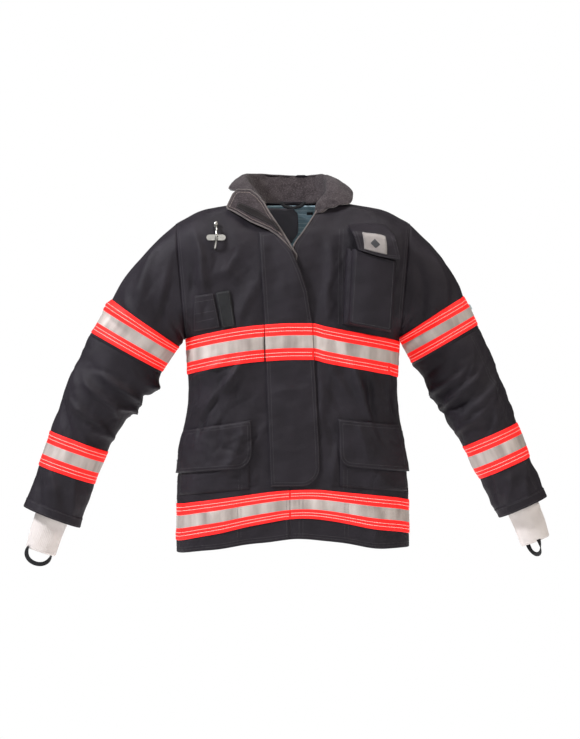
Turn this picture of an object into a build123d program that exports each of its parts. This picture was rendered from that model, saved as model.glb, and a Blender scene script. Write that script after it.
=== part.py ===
from build123d import *

import math
import os

# Firefighter's turnout coat, hung by its hanger loop with the sleeves held out as cut.
# +Z is up, the front faces -Y and +X is the wearer's left. "right" and "left" are the wearer's.
# The origin is the middle of the hanger loop, inside the back of the neck.

os.makedirs("parts", exist_ok=True)

# ---- body ----
coat_depth = 196.0  # front to back
hem_width = 486.0
waist_width = 440.0
chest_width = 452.0
shoulder_width = 492.0  # between the tops of the two armholes
body_length = 694.0  # neck seam to hem at the centre front
neck_width = 150.0
neck_depth = 100.0
body_y = -41.0  # middle of the body, ahead of the hanger loop
armhole_top = -46.0
armhole_bottom = -286.0
armhole_lean = 20.0  # how much further in the foot of the armhole is
neck_opening = 99.0  # how far the front opening reaches below the neck seam

# ---- cloths ----
shell = 1.6
barrier = 0.8
liner = 3.6
ply_gap = 0.4  # air between two cloths
trim = 1.2  # reflective trim
facing = 2.2  # folded shell cloth behind each front edge
flap_cloth = 2.6  # two shell cloths and a stiffener
clearance = 0.5  # between a moving part and what it lies on

# ---- trim bands ----
trim_width = 76.0
chest_trim_top = -256.0  # at the centre front
hem_trim_top = -603.0
chest_arch = 44.0  # how far the band drops from the centre to the side
hem_arch = 30.0
trim_seam = 8.0  # front bands stop this far from the zip line

# ---- front closure ----
closure_x = -4.0  # zip line
front_edge = 7.0  # each front stops this far from the zip line
facing_width = 40.0
tape_width = 14.0
tape_cloth = 0.8
teeth_width = 2.2
teeth_depth = 3.2
teeth_gap = 0.7  # half the slot between the two rows
zip_length = 478.0
slider_length = 20.0
slider_width = 12.0
slider_plate = 1.4
running_gap = 0.4
flap_seam_top = (-71.0, -66.0)  # the storm flap's sewn edge, in x and z
flap_seam_foot = (-47.0, -596.0)
flap_corner = 45.0
grip_tape_width = 20.0
grip_tape = 0.7

# ---- pockets ----
cargo_pocket_cloth = 4.0  # bellows folded flat
cargo_flap_gap = 0.9  # the flap swings down past the pocket on the curve of the side
radio_depth = 36.0
radio_wall = 2.0

# ---- sleeves: each station is (x, z, flat width, depth, lean of its axis from vertical) ----
sleeve_wall = 1.6
sleeve_liner = 3.0
sleeve_gap = 1.6  # between the armhole and the sleeve's first edge
elbow_gap = 0.8
sleeve_stations = {
    "right": {
        "band_top": (311, -254, 172, 150, 35),
        "band_foot": (351, -315, 168, 138, 29),
        "elbow": (381, -366, 156, 130, 27),
        "forearm": (410, -415, 150, 126, 21),
        "low_band_top": (452, -503, 127, 112, 20),
        "low_band_foot": (478, -574, 122, 108, 19),
        "cuff": (510, -664, 127, 108, 21),
    },
    "left": {
        "band_top": (301, -249, 152, 146, 38),
        "band_foot": (322, -297, 158, 134, 30),
        "elbow": (346, -341, 153, 128, 27),
        "forearm": (365, -385, 149, 122, 25),
        "low_band_top": (417, -489, 124, 108, 24),
        "low_band_foot": (448, -560, 117, 104, 24),
        "cuff": (487, -643, 110, 100, 24),
    },
}
cuff_height = 20.0
cuff_cloth = 2.0
wristlet_length = 76.0  # what shows below the cuff
wristlet_tuck = 34.0  # what is sewn up inside it
wristlet_wall = 2.4
thumb_tape = 1.4
thumb_tape_width = 9.0
thumb_loop_drop = 27.0


# ================================================================ forms and regions
half_depth = coat_depth / 2
arm = shoulder_width / 2


def body_levels():
    # (height, half width, half depth, share of any growth that goes upwards)
    return [
        (-body_length - 66, hem_width / 2 + 1, half_depth, 0.0),
        (-610, hem_width / 2 - 3, half_depth, 0.0),
        (-400, waist_width / 2, half_depth, 0.0),
        (armhole_bottom, chest_width / 2, half_depth, 0.0),
        (armhole_bottom + 66, arm + 31, half_depth, 0.0),
        (armhole_top - 54, arm + 31, half_depth, 0.0),
        (armhole_top - 24, arm + 24, half_depth - 6, 0.3),
        (armhole_top - 4, arm + 9, half_depth - 18, 0.8),
        (armhole_top + 14, arm - 21, half_depth - 26, 1.0),
        (armhole_top + 31, arm - 56, half_depth - 34, 1.0),
        (armhole_top + 43, arm - 121, half_depth - 42, 1.0),
        (armhole_top + 52, neck_width / 2 + 5, neck_depth / 2, 1.0),
    ]


def lofted(levels):
    with BuildPart() as form:
        for z, half_width, depth in levels:
            with BuildSketch(Plane.XY.offset(z)):
                with Locations((0, body_y)):
                    SlotOverall(2 * half_width, 2 * depth)
        loft(ruled=True)
    return form.part


body_forms = {}


def body_form(grow):
    # solid body with every face moved out by grow, made once for each growth
    if grow not in body_forms:
        body_forms[grow] = lofted(
            [
                (z + grow * rise, half_width + grow * (1 - rise), depth + grow)
                for z, half_width, depth, rise in body_levels()
            ]
        )
    return body_forms[grow]


def collar_form(grow):
    # the neck and shoulders, carried on up as a stand collar
    shoulders = [
        (z, half_width + grow, depth + grow)
        for z, half_width, depth, rise in body_levels()[4:]
    ]
    collar_rim = (collar_top, neck_width / 2 + collar_flare + grow, neck_depth / 2 + 6 + grow)
    return lofted([*shoulders, collar_rim])


def slab(x0, x1, y0, y1, z0=-1000.0, z1=200.0):
    with BuildPart() as block:
        with Locations(((x0 + x1) / 2, (y0 + y1) / 2, (z0 + z1) / 2)):
            Box(abs(x1 - x0), abs(y1 - y0), z1 - z0)
    return block.part


def outlined(points, near, far, corners=None):
    # block with an outline in x and z, from y = near to y = far
    with BuildPart() as block:
        with BuildSketch(Plane.XZ.offset(-near)) as face:
            with BuildLine():
                Polyline(*points, close=True)
            make_face()
            if corners:
                chosen = face.vertices().sort_by_distance((corners[0], near, corners[1]))
                fillet(chosen[0], radius=corners[2])
        extrude(amount=near - far)
    return block.part


def arch_region(top, height, arch, left, right, near, far):
    # band between two arcs that drop by arch from the centre to the sides
    reach = hem_width / 2 + 20
    with BuildPart() as block:
        with BuildSketch(Plane.XZ.offset(-near)):
            with BuildLine():
                upper = ThreePointArc((-reach, top - arch), (0, top), (reach, top - arch))
                lower = ThreePointArc(
                    (-reach, top - arch - height), (0, top - height), (reach, top - arch - height)
                )
                Line(upper @ 0, lower @ 0)
                Line(upper @ 1, lower @ 1)
            make_face()
            with Locations(((left + right) / 2, top - arch)):
                Rectangle(right - left, 3 * body_length, mode=Mode.INTERSECT)
        extrude(amount=near - far)
    return block.part


def armhole_x(z):
    share = (armhole_top - z) / (armhole_top - armhole_bottom)
    return arm - armhole_lean * share


def armhole_block(side):
    top, foot = 80.0, armhole_bottom - 1
    return outlined(
        [
            (side * armhole_x(top), top),
            (side * armhole_x(foot), foot),
            (side * 420, foot),
            (side * 420, top),
        ],
        300,
        -300,
    )


def neck_block():
    with BuildPart() as block:
        with BuildSketch(Plane.XY.offset(-70)):
            with Locations((0, body_y)):
                Ellipse(neck_width / 2, neck_depth / 2)
        extrude(amount=160)
    return block.part


def neck_wedge(spread):
    # front opening from the neck down to a point on the zip line
    half = neck_width / 2 - 15 + spread
    foot = -neck_opening - spread
    return outlined(
        [(closure_x - half, 40), (closure_x + half, 40), (closure_x, foot)], body_y, -400
    )


armhole_blocks = [armhole_block(-1), armhole_block(1)]
neck_cut = neck_block()
shell_hem = arch_region(60, body_length + 60, hem_arch + 6, -400, 400, 300, -400)
inner_hem = arch_region(60, body_length + 20, hem_arch + 6, -400, 400, 300, -400)
front_half = slab(-500, 500, -400, body_y)
back_half = slab(-500, 500, body_y, 300)


def cloth_layer(outer, thickness, spread, hem):
    # hollow cloth of the body, with its armholes, neck and front opening cut
    with BuildPart() as cloth:
        add(body_form(outer))
        add(body_form(outer - thickness), mode=Mode.SUBTRACT)
        for block in armhole_blocks:
            add(block, mode=Mode.SUBTRACT)
        add(neck_cut, mode=Mode.SUBTRACT)
        add(neck_wedge(spread), mode=Mode.SUBTRACT)
        add(hem, mode=Mode.INTERSECT)
    return cloth.part


def patch(outline, low, high):
    # cloth lying on the body between two growths, inside an outline block
    with BuildPart() as piece:
        add(outline)
        add(body_form(high), mode=Mode.INTERSECT)
        add(body_form(low), mode=Mode.SUBTRACT)
    return piece.part


def save(part, label):
    part.label = label
    export_step(part, f"parts/{label}.step")
    print(label, len(part.solids()), round(part.volume))


# ================================================================ outer shell
shell_cloth = cloth_layer(0.0, shell, 0, shell_hem)

with BuildPart() as back_shell:
    add(shell_cloth)
    add(back_half, mode=Mode.INTERSECT)
save(back_shell.part, "back_shell")

for side, name in ((-1, "right_front_shell"), (1, "left_front_shell")):
    with BuildPart() as front:
        add(shell_cloth)
        add(
            slab(closure_x + side * front_edge, side * 500, -400, body_y),
            mode=Mode.INTERSECT,
        )
    save(front.part, name)

# ================================================================ inner layers, open at the front
barrier_out = -(shell + ply_gap)
liner_out = barrier_out - barrier - ply_gap
lining_edge = front_edge + 2 + facing_width + 2
front_slot = slab(closure_x - lining_edge, closure_x + lining_edge, -400, body_y)

with BuildPart() as moisture_barrier:
    add(cloth_layer(barrier_out, barrier, 20, inner_hem))
    add(front_slot, mode=Mode.SUBTRACT)
save(moisture_barrier.part, "moisture_barrier")

with BuildPart() as thermal_liner:
    add(cloth_layer(liner_out, liner, 20, inner_hem))
    add(front_slot, mode=Mode.SUBTRACT)
save(thermal_liner.part, "thermal_liner")

facing_out = -(shell + 0.3)
facing_cloth = cloth_layer(facing_out, facing, 0, inner_hem)
for side, name in ((-1, "right_front_facing"), (1, "left_front_facing")):
    inner = closure_x + side * (front_edge + 2)
    with BuildPart() as front_facing:
        add(facing_cloth)
        add(slab(inner, inner + side * facing_width, -400, body_y), mode=Mode.INTERSECT)
    save(front_facing.part, name)

# ================================================================ zip
front_y = body_y - half_depth
tape_y = front_y - facing_out + facing + 0.3 + tape_cloth / 2
zip_top = -neck_opening - 6
zip_middle = zip_top - zip_length / 2
for side, name in ((-1, "right_zip_half"), (1, "left_zip_half")):
    teeth_x = closure_x + side * (teeth_gap + teeth_width / 2)
    tape_x = closure_x + side * (teeth_gap + teeth_width + tape_width / 2)
    with BuildPart() as zip_half:
        with Locations((tape_x, tape_y, zip_middle)):
            Box(tape_width, tape_cloth, zip_length)
        with Locations((teeth_x, tape_y, zip_middle)):
            Box(teeth_width, teeth_depth, zip_length)
    save(zip_half.part, name)

plate_offset = teeth_depth / 2 + running_gap + slider_plate / 2
plate_front = tape_y - plate_offset - slider_plate / 2
slider_z = zip_top - 2 - slider_length / 2
bail_reach = 2.6
bail_leg = 1.0
bail_height = 9.0
with BuildPart() as zip_slider:
    for face in (-1, 1):
        with Locations((closure_x, tape_y + face * plate_offset, slider_z)):
            Box(slider_width, slider_plate, slider_length)
    with Locations((closure_x, tape_y, slider_z)):
        Box(teeth_gap, 2 * plate_offset, slider_length - 4)
    with Locations((closure_x, plate_front - bail_reach / 2, slider_z)):
        Box(2.4, bail_reach, bail_height)
        Box(2.4, bail_reach, bail_height - 2 * bail_leg, mode=Mode.SUBTRACT)
    with Locations((closure_x, plate_front - bail_reach + 0.3, slider_z)):
        Box(2.4, 0.6, bail_height)
save(zip_slider.part, "zip_slider")

pull_y = plate_front - 1.0
pull_z = slider_z + bail_height / 2 - bail_leg - 1.2
with BuildPart() as zip_pull:
    with BuildSketch(Plane.XZ.offset(-pull_y - 0.6)):
        with Locations((closure_x, pull_z - 12.4)):
            SlotOverall(27, 8, rotation=90)
        with Locations((closure_x, pull_z - 4.2)):
            Rectangle(4.0, 7.0, mode=Mode.SUBTRACT)
    extrude(amount=1.2)
save(zip_pull.part, "zip_pull")

with BuildPart() as zip_box:
    with Locations((closure_x, tape_y, zip_top - zip_length - 5.3)):
        Box(12, 4.4, 10)
save(zip_box.part, "zip_box")

# ================================================================ trim on the body
trim_low = 0.3
trim_high = trim_low + trim
grip_left = closure_x + 12
left_trim_edge = grip_left + grip_tape_width + 2
for band, top, arch, left_edge in (
    ("chest", chest_trim_top, chest_arch, left_trim_edge),
    ("hem", hem_trim_top, hem_arch, closure_x + trim_seam),
):
    spans = {
        "back": (-400, 400, 300, body_y + 0.2),
        "right": (-400, closure_x - trim_seam, body_y - 0.2, -400),
        "left": (left_edge, 400, body_y - 0.2, -400),
    }
    for piece, (left, right, near, far) in spans.items():
        with BuildPart() as tape:
            add(
                patch(
                    arch_region(top, trim_width, arch, left, right, near, far),
                    trim_low,
                    trim_high,
                )
            )
            for block in armhole_blocks:
                add(block, mode=Mode.SUBTRACT)
        save(tape.part, f"{band}_trim_{piece}")

# ================================================================ storm flap
flap_low = trim_high + clearance
flap_high = flap_low + flap_cloth
flap_outline = [
    flap_seam_top,
    (-36, -80),
    (-1, -118),
    (17, -154),
    (31, -190),
    (41, -254),
    (55, -502),
    (55, flap_seam_foot[1]),
    flap_seam_foot,
]
flap_block = outlined(
    flap_outline, body_y, -400, corners=(55, flap_seam_foot[1], flap_corner)
)
storm_flap = patch(flap_block, flap_low, flap_high)
save(storm_flap, "storm_flap")

with BuildPart() as storm_flap_trim:
    add(
        patch(
            arch_region(
                chest_trim_top, trim_width, chest_arch, -60, closure_x + 46, body_y, -400
            ),
            flap_high + trim_low,
            flap_high + trim_high,
        )
    )
    add(flap_block, mode=Mode.INTERSECT)
save(storm_flap_trim.part, "storm_flap_trim")

grip_block = slab(
    grip_left, grip_left + grip_tape_width, -400, body_y, flap_seam_foot[1] + 50, -170
)
save(patch(grip_block, 0.2, 0.2 + grip_tape), "loop_tape")
save(patch(grip_block, flap_low - grip_tape, flap_low), "hook_tape")

# ================================================================ cargo pockets
cargo_low = 0.3
cargo_high = cargo_low + cargo_pocket_cloth
cargo_flap_low = cargo_high + cargo_flap_gap
cargo_flap_high = cargo_flap_low + flap_cloth
cargo_shapes = {
    "right": {"side": -1, "inner": 84, "outer": 223, "top": -456, "drop": 23},
    "left": {"side": 1, "inner": 96, "outer": 220, "top": -454, "drop": 15},
}
for name, shape in cargo_shapes.items():
    side, inner, outer = shape["side"], shape["inner"], shape["outer"]
    top, drop = shape["top"], shape["drop"]
    bottom = hem_trim_top - 2.5
    pocket = outlined(
        [
            (side * (inner + 22), top - 6),
            (side * (outer - 2), top - drop - 4),
            (side * (outer - 2), bottom - 15),
            (side * (inner + 22), bottom),
        ],
        body_y,
        -400,
    )
    save(patch(pocket, cargo_low, cargo_high), f"{name}_cargo_pocket")
    flap = outlined(
        [
            (side * inner, top),
            (side * outer, top - drop),
            (side * (outer + 2), top - drop - 90),
            (side * inner, top - 99),
        ],
        body_y,
        -400,
        corners=(side * inner, top - 99, 32),
    )
    save(patch(flap, cargo_flap_low, cargo_flap_high), f"{name}_cargo_flap")

# ================================================================ radio pocket
radio_left, radio_right = 112.0, 205.0
radio_top = -66.0
radio_bottom = -252.0
radio_front = front_y - radio_depth
radio_slope = 18.0  # how far the foot drops from its inner to its outer corner
with BuildPart() as radio_pocket:
    add(
        outlined(
            [
                (radio_left, radio_top),
                (radio_right, radio_top),
                (radio_right, radio_bottom - radio_slope),
                (radio_left, radio_bottom),
            ],
            body_y,
            radio_front,
        )
    )
    add(body_form(0.3), mode=Mode.SUBTRACT)
    add(
        outlined(
            [
                (radio_left + radio_wall, 0),
                (radio_right - radio_wall, 0),
                (radio_right - radio_wall, radio_bottom - radio_slope + radio_wall + 0.4),
                (radio_left + radio_wall, radio_bottom + radio_wall),
            ],
            front_y - radio_wall - 0.3,
            radio_front + radio_wall,
        ),
        mode=Mode.SUBTRACT,
    )
save(radio_pocket.part, "radio_pocket")

radio_flap_front = radio_front - clearance
radio_flap_top = -50.0
radio_hinge_y = front_y + 18 - 4.0
with BuildPart() as radio_flap:
    with BuildSketch(Plane.YZ.offset(radio_left - 3)):
        with BuildLine():
            Polyline(
                (radio_hinge_y, radio_flap_top),
                (radio_flap_front - flap_cloth, radio_flap_top - 8),
                (radio_flap_front - flap_cloth, -120),
                (radio_flap_front, -120),
                (radio_flap_front, radio_flap_top - 12),
                (radio_hinge_y, radio_flap_top - flap_cloth),
                close=True,
            )
        make_face()
    extrude(amount=radio_right - radio_left + 6)
save(radio_flap.part, "radio_flap")

with BuildPart() as radio_patch:
    patch_y = radio_flap_front - flap_cloth - 0.2 - 0.5
    with Locations(((radio_left + radio_right) / 2, patch_y, -88)):
        Box(44, 1.0, 44)
save(radio_patch.part, "radio_patch")

# ================================================================ flashlight patch and strap
light_patch = outlined([(-204, -199), (-166, -194), (-166, -265), (-204, -270)], body_y, -400)
save(patch(light_patch, 0.3, 1.9), "flashlight_patch")
light_strap = outlined([(-160, -191), (-130, -187), (-122, -261), (-148, -263)], body_y, -400)
save(patch(light_strap, clearance, clearance + 2.0), "flashlight_strap")

# ================================================================ metal hook
hook_x, hook_z = -160.0, -77.0
with BuildPart() as hook_plate:
    with BuildSketch(Plane.XZ.offset(-front_y - 12)):
        with Locations((hook_x, hook_z)):
            SlotOverall(40, 12)
    extrude(amount=-(front_y + 4) + front_y + 12 + 3)
    add(body_form(0.3), mode=Mode.SUBTRACT)
save(hook_plate.part, "hook_plate")
hook_face = min(v.Y for v in hook_plate.vertices())

hook_bow = 13.0
with BuildPart() as hook_bar:
    with BuildSketch(Plane.YZ.offset(hook_x - 2.5)):
        with BuildLine():
            Polyline(
                (hook_face - 0.2, hook_z - 5.5),
                (hook_face - 3.0, hook_z - 5.5),
                (hook_face - hook_bow, hook_z - 14),
                (hook_face - hook_bow - 4, hook_z),
                (hook_face - hook_bow, hook_z + 27),
                (hook_face - hook_bow + 3, hook_z + 27),
                (hook_face - hook_bow - 1, hook_z),
                (hook_face - hook_bow + 3, hook_z - 10.5),
                (hook_face - 2.4, hook_z - 3),
                (hook_face - 0.2, hook_z - 3),
                close=True,
            )
        make_face()
    extrude(amount=5)
    with Locations((hook_x, hook_face - hook_bow + 1, hook_z + 27)):
        Sphere(4.5)
save(hook_bar.part, "hook_bar")

with BuildPart() as hook_rivets:
    for offset in (-13, 13):
        with Locations((hook_x + offset, hook_face - 0.9, hook_z)):
            Cylinder(3, 1.6, rotation=(90, 0, 0))
save(hook_rivets.part, "hook_rivets")

# ================================================================ collar
collar_top = 64.0
collar_flare = 22.0
collar_low, collar_high = 5.0, 9.5
collar_foot = armhole_top + 52 + 0.3  # just above the neck seam
outer_collar = collar_form(collar_high)
inner_collar = collar_form(collar_low)
stand_inner = collar_form(0.0)

with BuildPart() as collar_back:
    add(inner_collar)
    add(stand_inner, mode=Mode.SUBTRACT)
    add(slab(-400, 400, body_y + 0.3, 200, collar_foot, 200), mode=Mode.INTERSECT)
save(collar_back.part, "collar_back")

right_collar_outline = [
    (-114, 60),
    (-88, 60),
    (-57, -3),
    (-38, -37),
    (-4, -84),
    (-8, -92),
    (-38, -62),
    (-55, -54),
    (-93, -35),
    (-139, -14),
    (-133, 30),
]
left_collar_outline = [
    (88, 60),
    (106, 50),
    (126, 11),
    (123, -1),
    (83, -14),
    (45, -27),
    (51, 5),
    (63, 35),
]
for name, outline in (("right_collar", right_collar_outline), ("left_collar", left_collar_outline)):
    with BuildPart() as collar:
        add(outlined(outline, body_y, -400))
        add(outer_collar, mode=Mode.INTERSECT)
        add(inner_collar, mode=Mode.SUBTRACT)
    save(collar.part, name)

# ================================================================ hanger loop
with BuildPart() as hanger_loop:
    with BuildSketch(Plane.XY.offset(-5)):
        with BuildLine():
            rise = neck_depth / 2 + body_y - 4.7
            outer_arc = ThreePointArc((-30, rise), (0, 0.7), (30, rise))
            inner_arc = ThreePointArc((-30, rise - 1.4), (0, -0.7), (30, rise - 1.4))
            Line(outer_arc @ 0, inner_arc @ 0)
            Line(outer_arc @ 1, inner_arc @ 1)
        make_face()
    extrude(amount=10)
save(hanger_loop.part, "hanger_loop")

# ================================================================ drag rescue strap, upper back
back_y = body_y + half_depth
drag_strap = slab(-20, 20, body_y, 200, -158, -108)
save(patch(drag_strap, 0.3, 2.3), "drag_strap")
drag_flap = slab(-55, 55, body_y, 200, -172, -102)
save(patch(drag_flap, 2.3 + clearance, 2.3 + clearance + flap_cloth), "drag_flap")


# ================================================================ sleeves
def station_plane(side, station, slide=0.0):
    # plane across the sleeve: x runs to its outer edge, z up the sleeve, moved up by slide
    x, z, width, depth, lean = station
    angle = math.radians(lean)
    across = (side * math.cos(angle), 0, math.sin(angle))
    up = (-side * math.sin(angle), 0, math.cos(angle))
    centre = (side * x + up[0] * slide, body_y, z + up[2] * slide)
    return Plane(origin=centre, x_dir=across, z_dir=up)


def armhole_plane(side):
    top = (armhole_x(armhole_top) + sleeve_gap, armhole_top)
    foot = (armhole_x(armhole_bottom) + sleeve_gap, armhole_bottom)
    centre = (side * (top[0] + foot[0]) / 2, body_y, (top[1] + foot[1]) / 2)
    along = (side * (top[0] - foot[0]), 0, top[1] - foot[1])
    length = math.hypot(along[0], along[2])
    up = (-side * along[2] / length, 0, side * along[0] / length)
    return Plane(origin=centre, x_dir=along, z_dir=up), length, 160.0


def between(near, far, distance):
    # station on the way from near to far, at a distance along the sleeve from near
    length = math.hypot(far[0] - near[0], far[1] - near[1])
    share = distance / length
    return tuple(a + share * (b - a) for a, b in zip(near, far))


def sleeve_form(side, stations, grow, slides=None, armhole=False):
    slides = slides or [0.0] * len(stations)
    with BuildPart() as form:
        if armhole:
            plane, length, depth = armhole_plane(side)
            with BuildSketch(plane):
                Ellipse(length / 2 + grow, depth / 2 + grow)
        for station, slide in zip(stations, slides):
            with BuildSketch(station_plane(side, station, slide)):
                Ellipse(station[2] / 2 + grow, station[3] / 2 + grow)
        loft(ruled=True)
    return form.part


def tube(side, stations, outer, inner, slides=None, armhole=False):
    with BuildPart() as wall:
        add(sleeve_form(side, stations, outer, slides, armhole))
        add(sleeve_form(side, stations, inner, slides, armhole), mode=Mode.SUBTRACT)
    return wall.part


for side, name in ((-1, "right"), (1, "left")):
    stops = sleeve_stations[name]
    upper = [stops["band_top"], stops["band_foot"], stops["elbow"]]
    lower = [stops["elbow"], stops["forearm"], stops["low_band_top"]]
    lower += [stops["low_band_foot"], stops["cuff"]]
    upper_slides = [0, 0, elbow_gap / 2]
    lower_slides = [-elbow_gap / 2, 0, 0, 0, 0]
    inner_wall = -sleeve_wall
    liner_wall = inner_wall - 2 * ply_gap

    save(tube(side, upper, 0, inner_wall, upper_slides, True), f"{name}_upper_sleeve")
    save(
        tube(side, upper, liner_wall, liner_wall - sleeve_liner, upper_slides, True),
        f"{name}_upper_sleeve_liner",
    )
    save(tube(side, lower, 0, inner_wall, lower_slides), f"{name}_forearm")
    save(
        tube(side, lower, liner_wall, liner_wall - sleeve_liner, lower_slides),
        f"{name}_forearm_liner",
    )
    for band, ends in (
        ("upper_sleeve_trim", ("band_top", "band_foot")),
        ("forearm_trim", ("low_band_top", "low_band_foot")),
    ):
        save(
            tube(side, [stops[ends[0]], stops[ends[1]]], trim_high, trim_low),
            f"{name}_{band}",
        )
    cuff = stops["cuff"]
    cuff_top = between(cuff, stops["low_band_foot"], cuff_height)
    save(
        tube(side, [cuff_top, cuff], 0.3 + cuff_cloth, 0.3, [0, -3]),
        f"{name}_cuff",
    )

    # knit wristlet: sewn to the liner inside the cuff, then narrowing to the wrist
    inside = liner_wall - sleeve_liner - 0.3
    seat = between(cuff, stops["low_band_foot"], wristlet_tuck)
    knit_top = (seat[0], seat[1], seat[2] + 2 * inside, seat[3] + 2 * inside, seat[4])
    wrist = (cuff[0], cuff[1], 76.0, 66.0, cuff[4] - 3)
    wrist_end = (cuff[0], cuff[1], 64.0, 54.0, cuff[4] - 3)
    knit = [knit_top, wrist, wrist_end]
    knit_slides = [0, -4, -wristlet_length]
    save(tube(side, knit, 0, -wristlet_wall, knit_slides), f"{name}_wristlet")

    # thumb loop: a tape whose two ends lie on the wristlet's edge
    end_plane = station_plane(side, wrist_end, -wristlet_length)
    loop_plane = Plane(
        origin=end_plane.origin, x_dir=end_plane.x_dir, z_dir=-end_plane.y_dir
    )
    half = wrist_end[2] / 2 + 1.5
    with BuildPart() as thumb_loop:
        with BuildSketch(loop_plane):
            for reach, mode in ((half + thumb_tape, Mode.ADD), (half, Mode.SUBTRACT)):
                with BuildLine():
                    start = (-reach, 9)
                    finish = (reach, 9)
                    low_left = (-reach, 0)
                    low_right = (reach, 0)
                    Line(start, low_left)
                    ThreePointArc(
                        low_left,
                        (0, -thumb_loop_drop - (reach - half)),
                        low_right,
                    )
                    Line(low_right, finish)
                    Line(finish, start)
                make_face(mode=mode)
        extrude(amount=thumb_tape_width / 2, both=True)
    save(thumb_loop.part, f"{name}_thumb_loop")
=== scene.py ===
import math
import bpy
import numpy as np
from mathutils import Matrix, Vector
from mathutils.geometry import delaunay_2d_cdt


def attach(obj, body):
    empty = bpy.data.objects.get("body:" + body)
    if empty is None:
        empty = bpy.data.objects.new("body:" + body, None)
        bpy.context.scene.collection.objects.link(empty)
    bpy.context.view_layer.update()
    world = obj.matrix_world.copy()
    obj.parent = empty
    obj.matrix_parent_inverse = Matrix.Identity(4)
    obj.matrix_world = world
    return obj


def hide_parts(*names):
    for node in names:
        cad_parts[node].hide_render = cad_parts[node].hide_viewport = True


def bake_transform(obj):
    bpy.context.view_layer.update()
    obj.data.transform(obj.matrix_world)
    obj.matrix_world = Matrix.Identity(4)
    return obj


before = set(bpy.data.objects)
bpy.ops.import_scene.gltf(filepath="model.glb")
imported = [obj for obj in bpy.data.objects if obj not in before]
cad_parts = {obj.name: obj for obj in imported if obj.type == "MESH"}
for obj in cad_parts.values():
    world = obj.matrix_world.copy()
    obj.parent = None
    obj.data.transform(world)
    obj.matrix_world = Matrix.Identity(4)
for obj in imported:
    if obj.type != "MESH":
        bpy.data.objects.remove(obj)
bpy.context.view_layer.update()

mm = 0.001  # every size below is in millimetres

# curves and small maths


def smoothCurve(places, values):
    # monotone cubic through the given places, so nothing overshoots
    x, y = np.array(places, float), np.array(values, float)
    step = np.diff(x)
    rise = np.diff(y) / step
    slope = np.zeros(len(x))
    slope[0], slope[-1] = rise[0], rise[-1]
    for i in range(1, len(x) - 1):
        if rise[i - 1] * rise[i] > 0:
            w1, w2 = 2 * step[i] + step[i - 1], step[i] + 2 * step[i - 1]
            slope[i] = (w1 + w2) / (w1 / rise[i - 1] + w2 / rise[i])

    def at(q):
        q = np.clip(q, x[0], x[-1])
        i = np.clip(np.searchsorted(x, q) - 1, 0, len(step) - 1)
        t = (q - x[i]) / step[i]
        return (
            (1 + 2 * t) * (1 - t) ** 2 * y[i]
            + t * (1 - t) ** 2 * step[i] * slope[i]
            + t * t * (3 - 2 * t) * y[i + 1]
            + t * t * (t - 1) * step[i] * slope[i + 1]
        )

    return at


def easeStep(t):
    t = np.clip(t, 0, 1)
    return t * t * (3 - 2 * t)


def softNoise(u, v, size, seed):
    # smooth, repeatable unevenness from a few crossed waves
    draw = np.random.default_rng(seed)
    total = np.zeros(np.broadcast(u, v).shape)
    for k in range(7):
        turn = draw.uniform(0, math.tau)
        wave = math.tau / (size * draw.uniform(0.6, 1.7))
        total = total + np.sin((u * math.cos(turn) + v * math.sin(turn)) * wave + draw.uniform(0, math.tau))
    return total / 3.5


def foldHeight(u, v, folds):
    # each fold: (u, v, direction in degrees, half length, half width, height)
    total = np.zeros(np.broadcast(u, v).shape)
    for fu, fv, turn, halfLength, halfWidth, height in folds:
        c, s = math.cos(math.radians(turn)), math.sin(math.radians(turn))
        along = (u - fu) * c + (v - fv) * s
        across = -(u - fu) * s + (v - fv) * c
        across = across + 0.12 * halfLength * np.sin(along / halfLength * 2.2)
        crest = 1.0 / (1.0 + (across / halfWidth) ** 2) ** 1.6
        total = total + height * crest * np.exp(-((along / halfLength) ** 4))
    return total


# the body's form: half width and half depth at each height

bodyForm = {
    "heights": [-760, -610, -540, -400, -286, -220, -100, -70, -50, -32, -15, -3, 6],
    "halfWidth": [246, 244, 239, 221, 226, 277, 277, 270, 255, 225, 190, 125, 80],
    "halfDepth": [98, 98, 98, 97, 98, 98, 97, 92, 81, 72, 64, 56, 50],
    "middleY": -41.0,
    "armholeTop": (246.0, -45.0),
    "armholeFoot": (226.0, -286.0),
    "foldGain": 2.9,
    # flat places behind the hook and at the lamp strap's root: centre, radius and fade
    "calmSpots": [(-163, -77, 22, 22), (-146, -190, 22, 24)],
}
bodyWidth = smoothCurve(bodyForm["heights"], bodyForm["halfWidth"])
bodyDepth = smoothCurve(bodyForm["heights"], bodyForm["halfDepth"])
middleY = bodyForm["middleY"]

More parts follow.
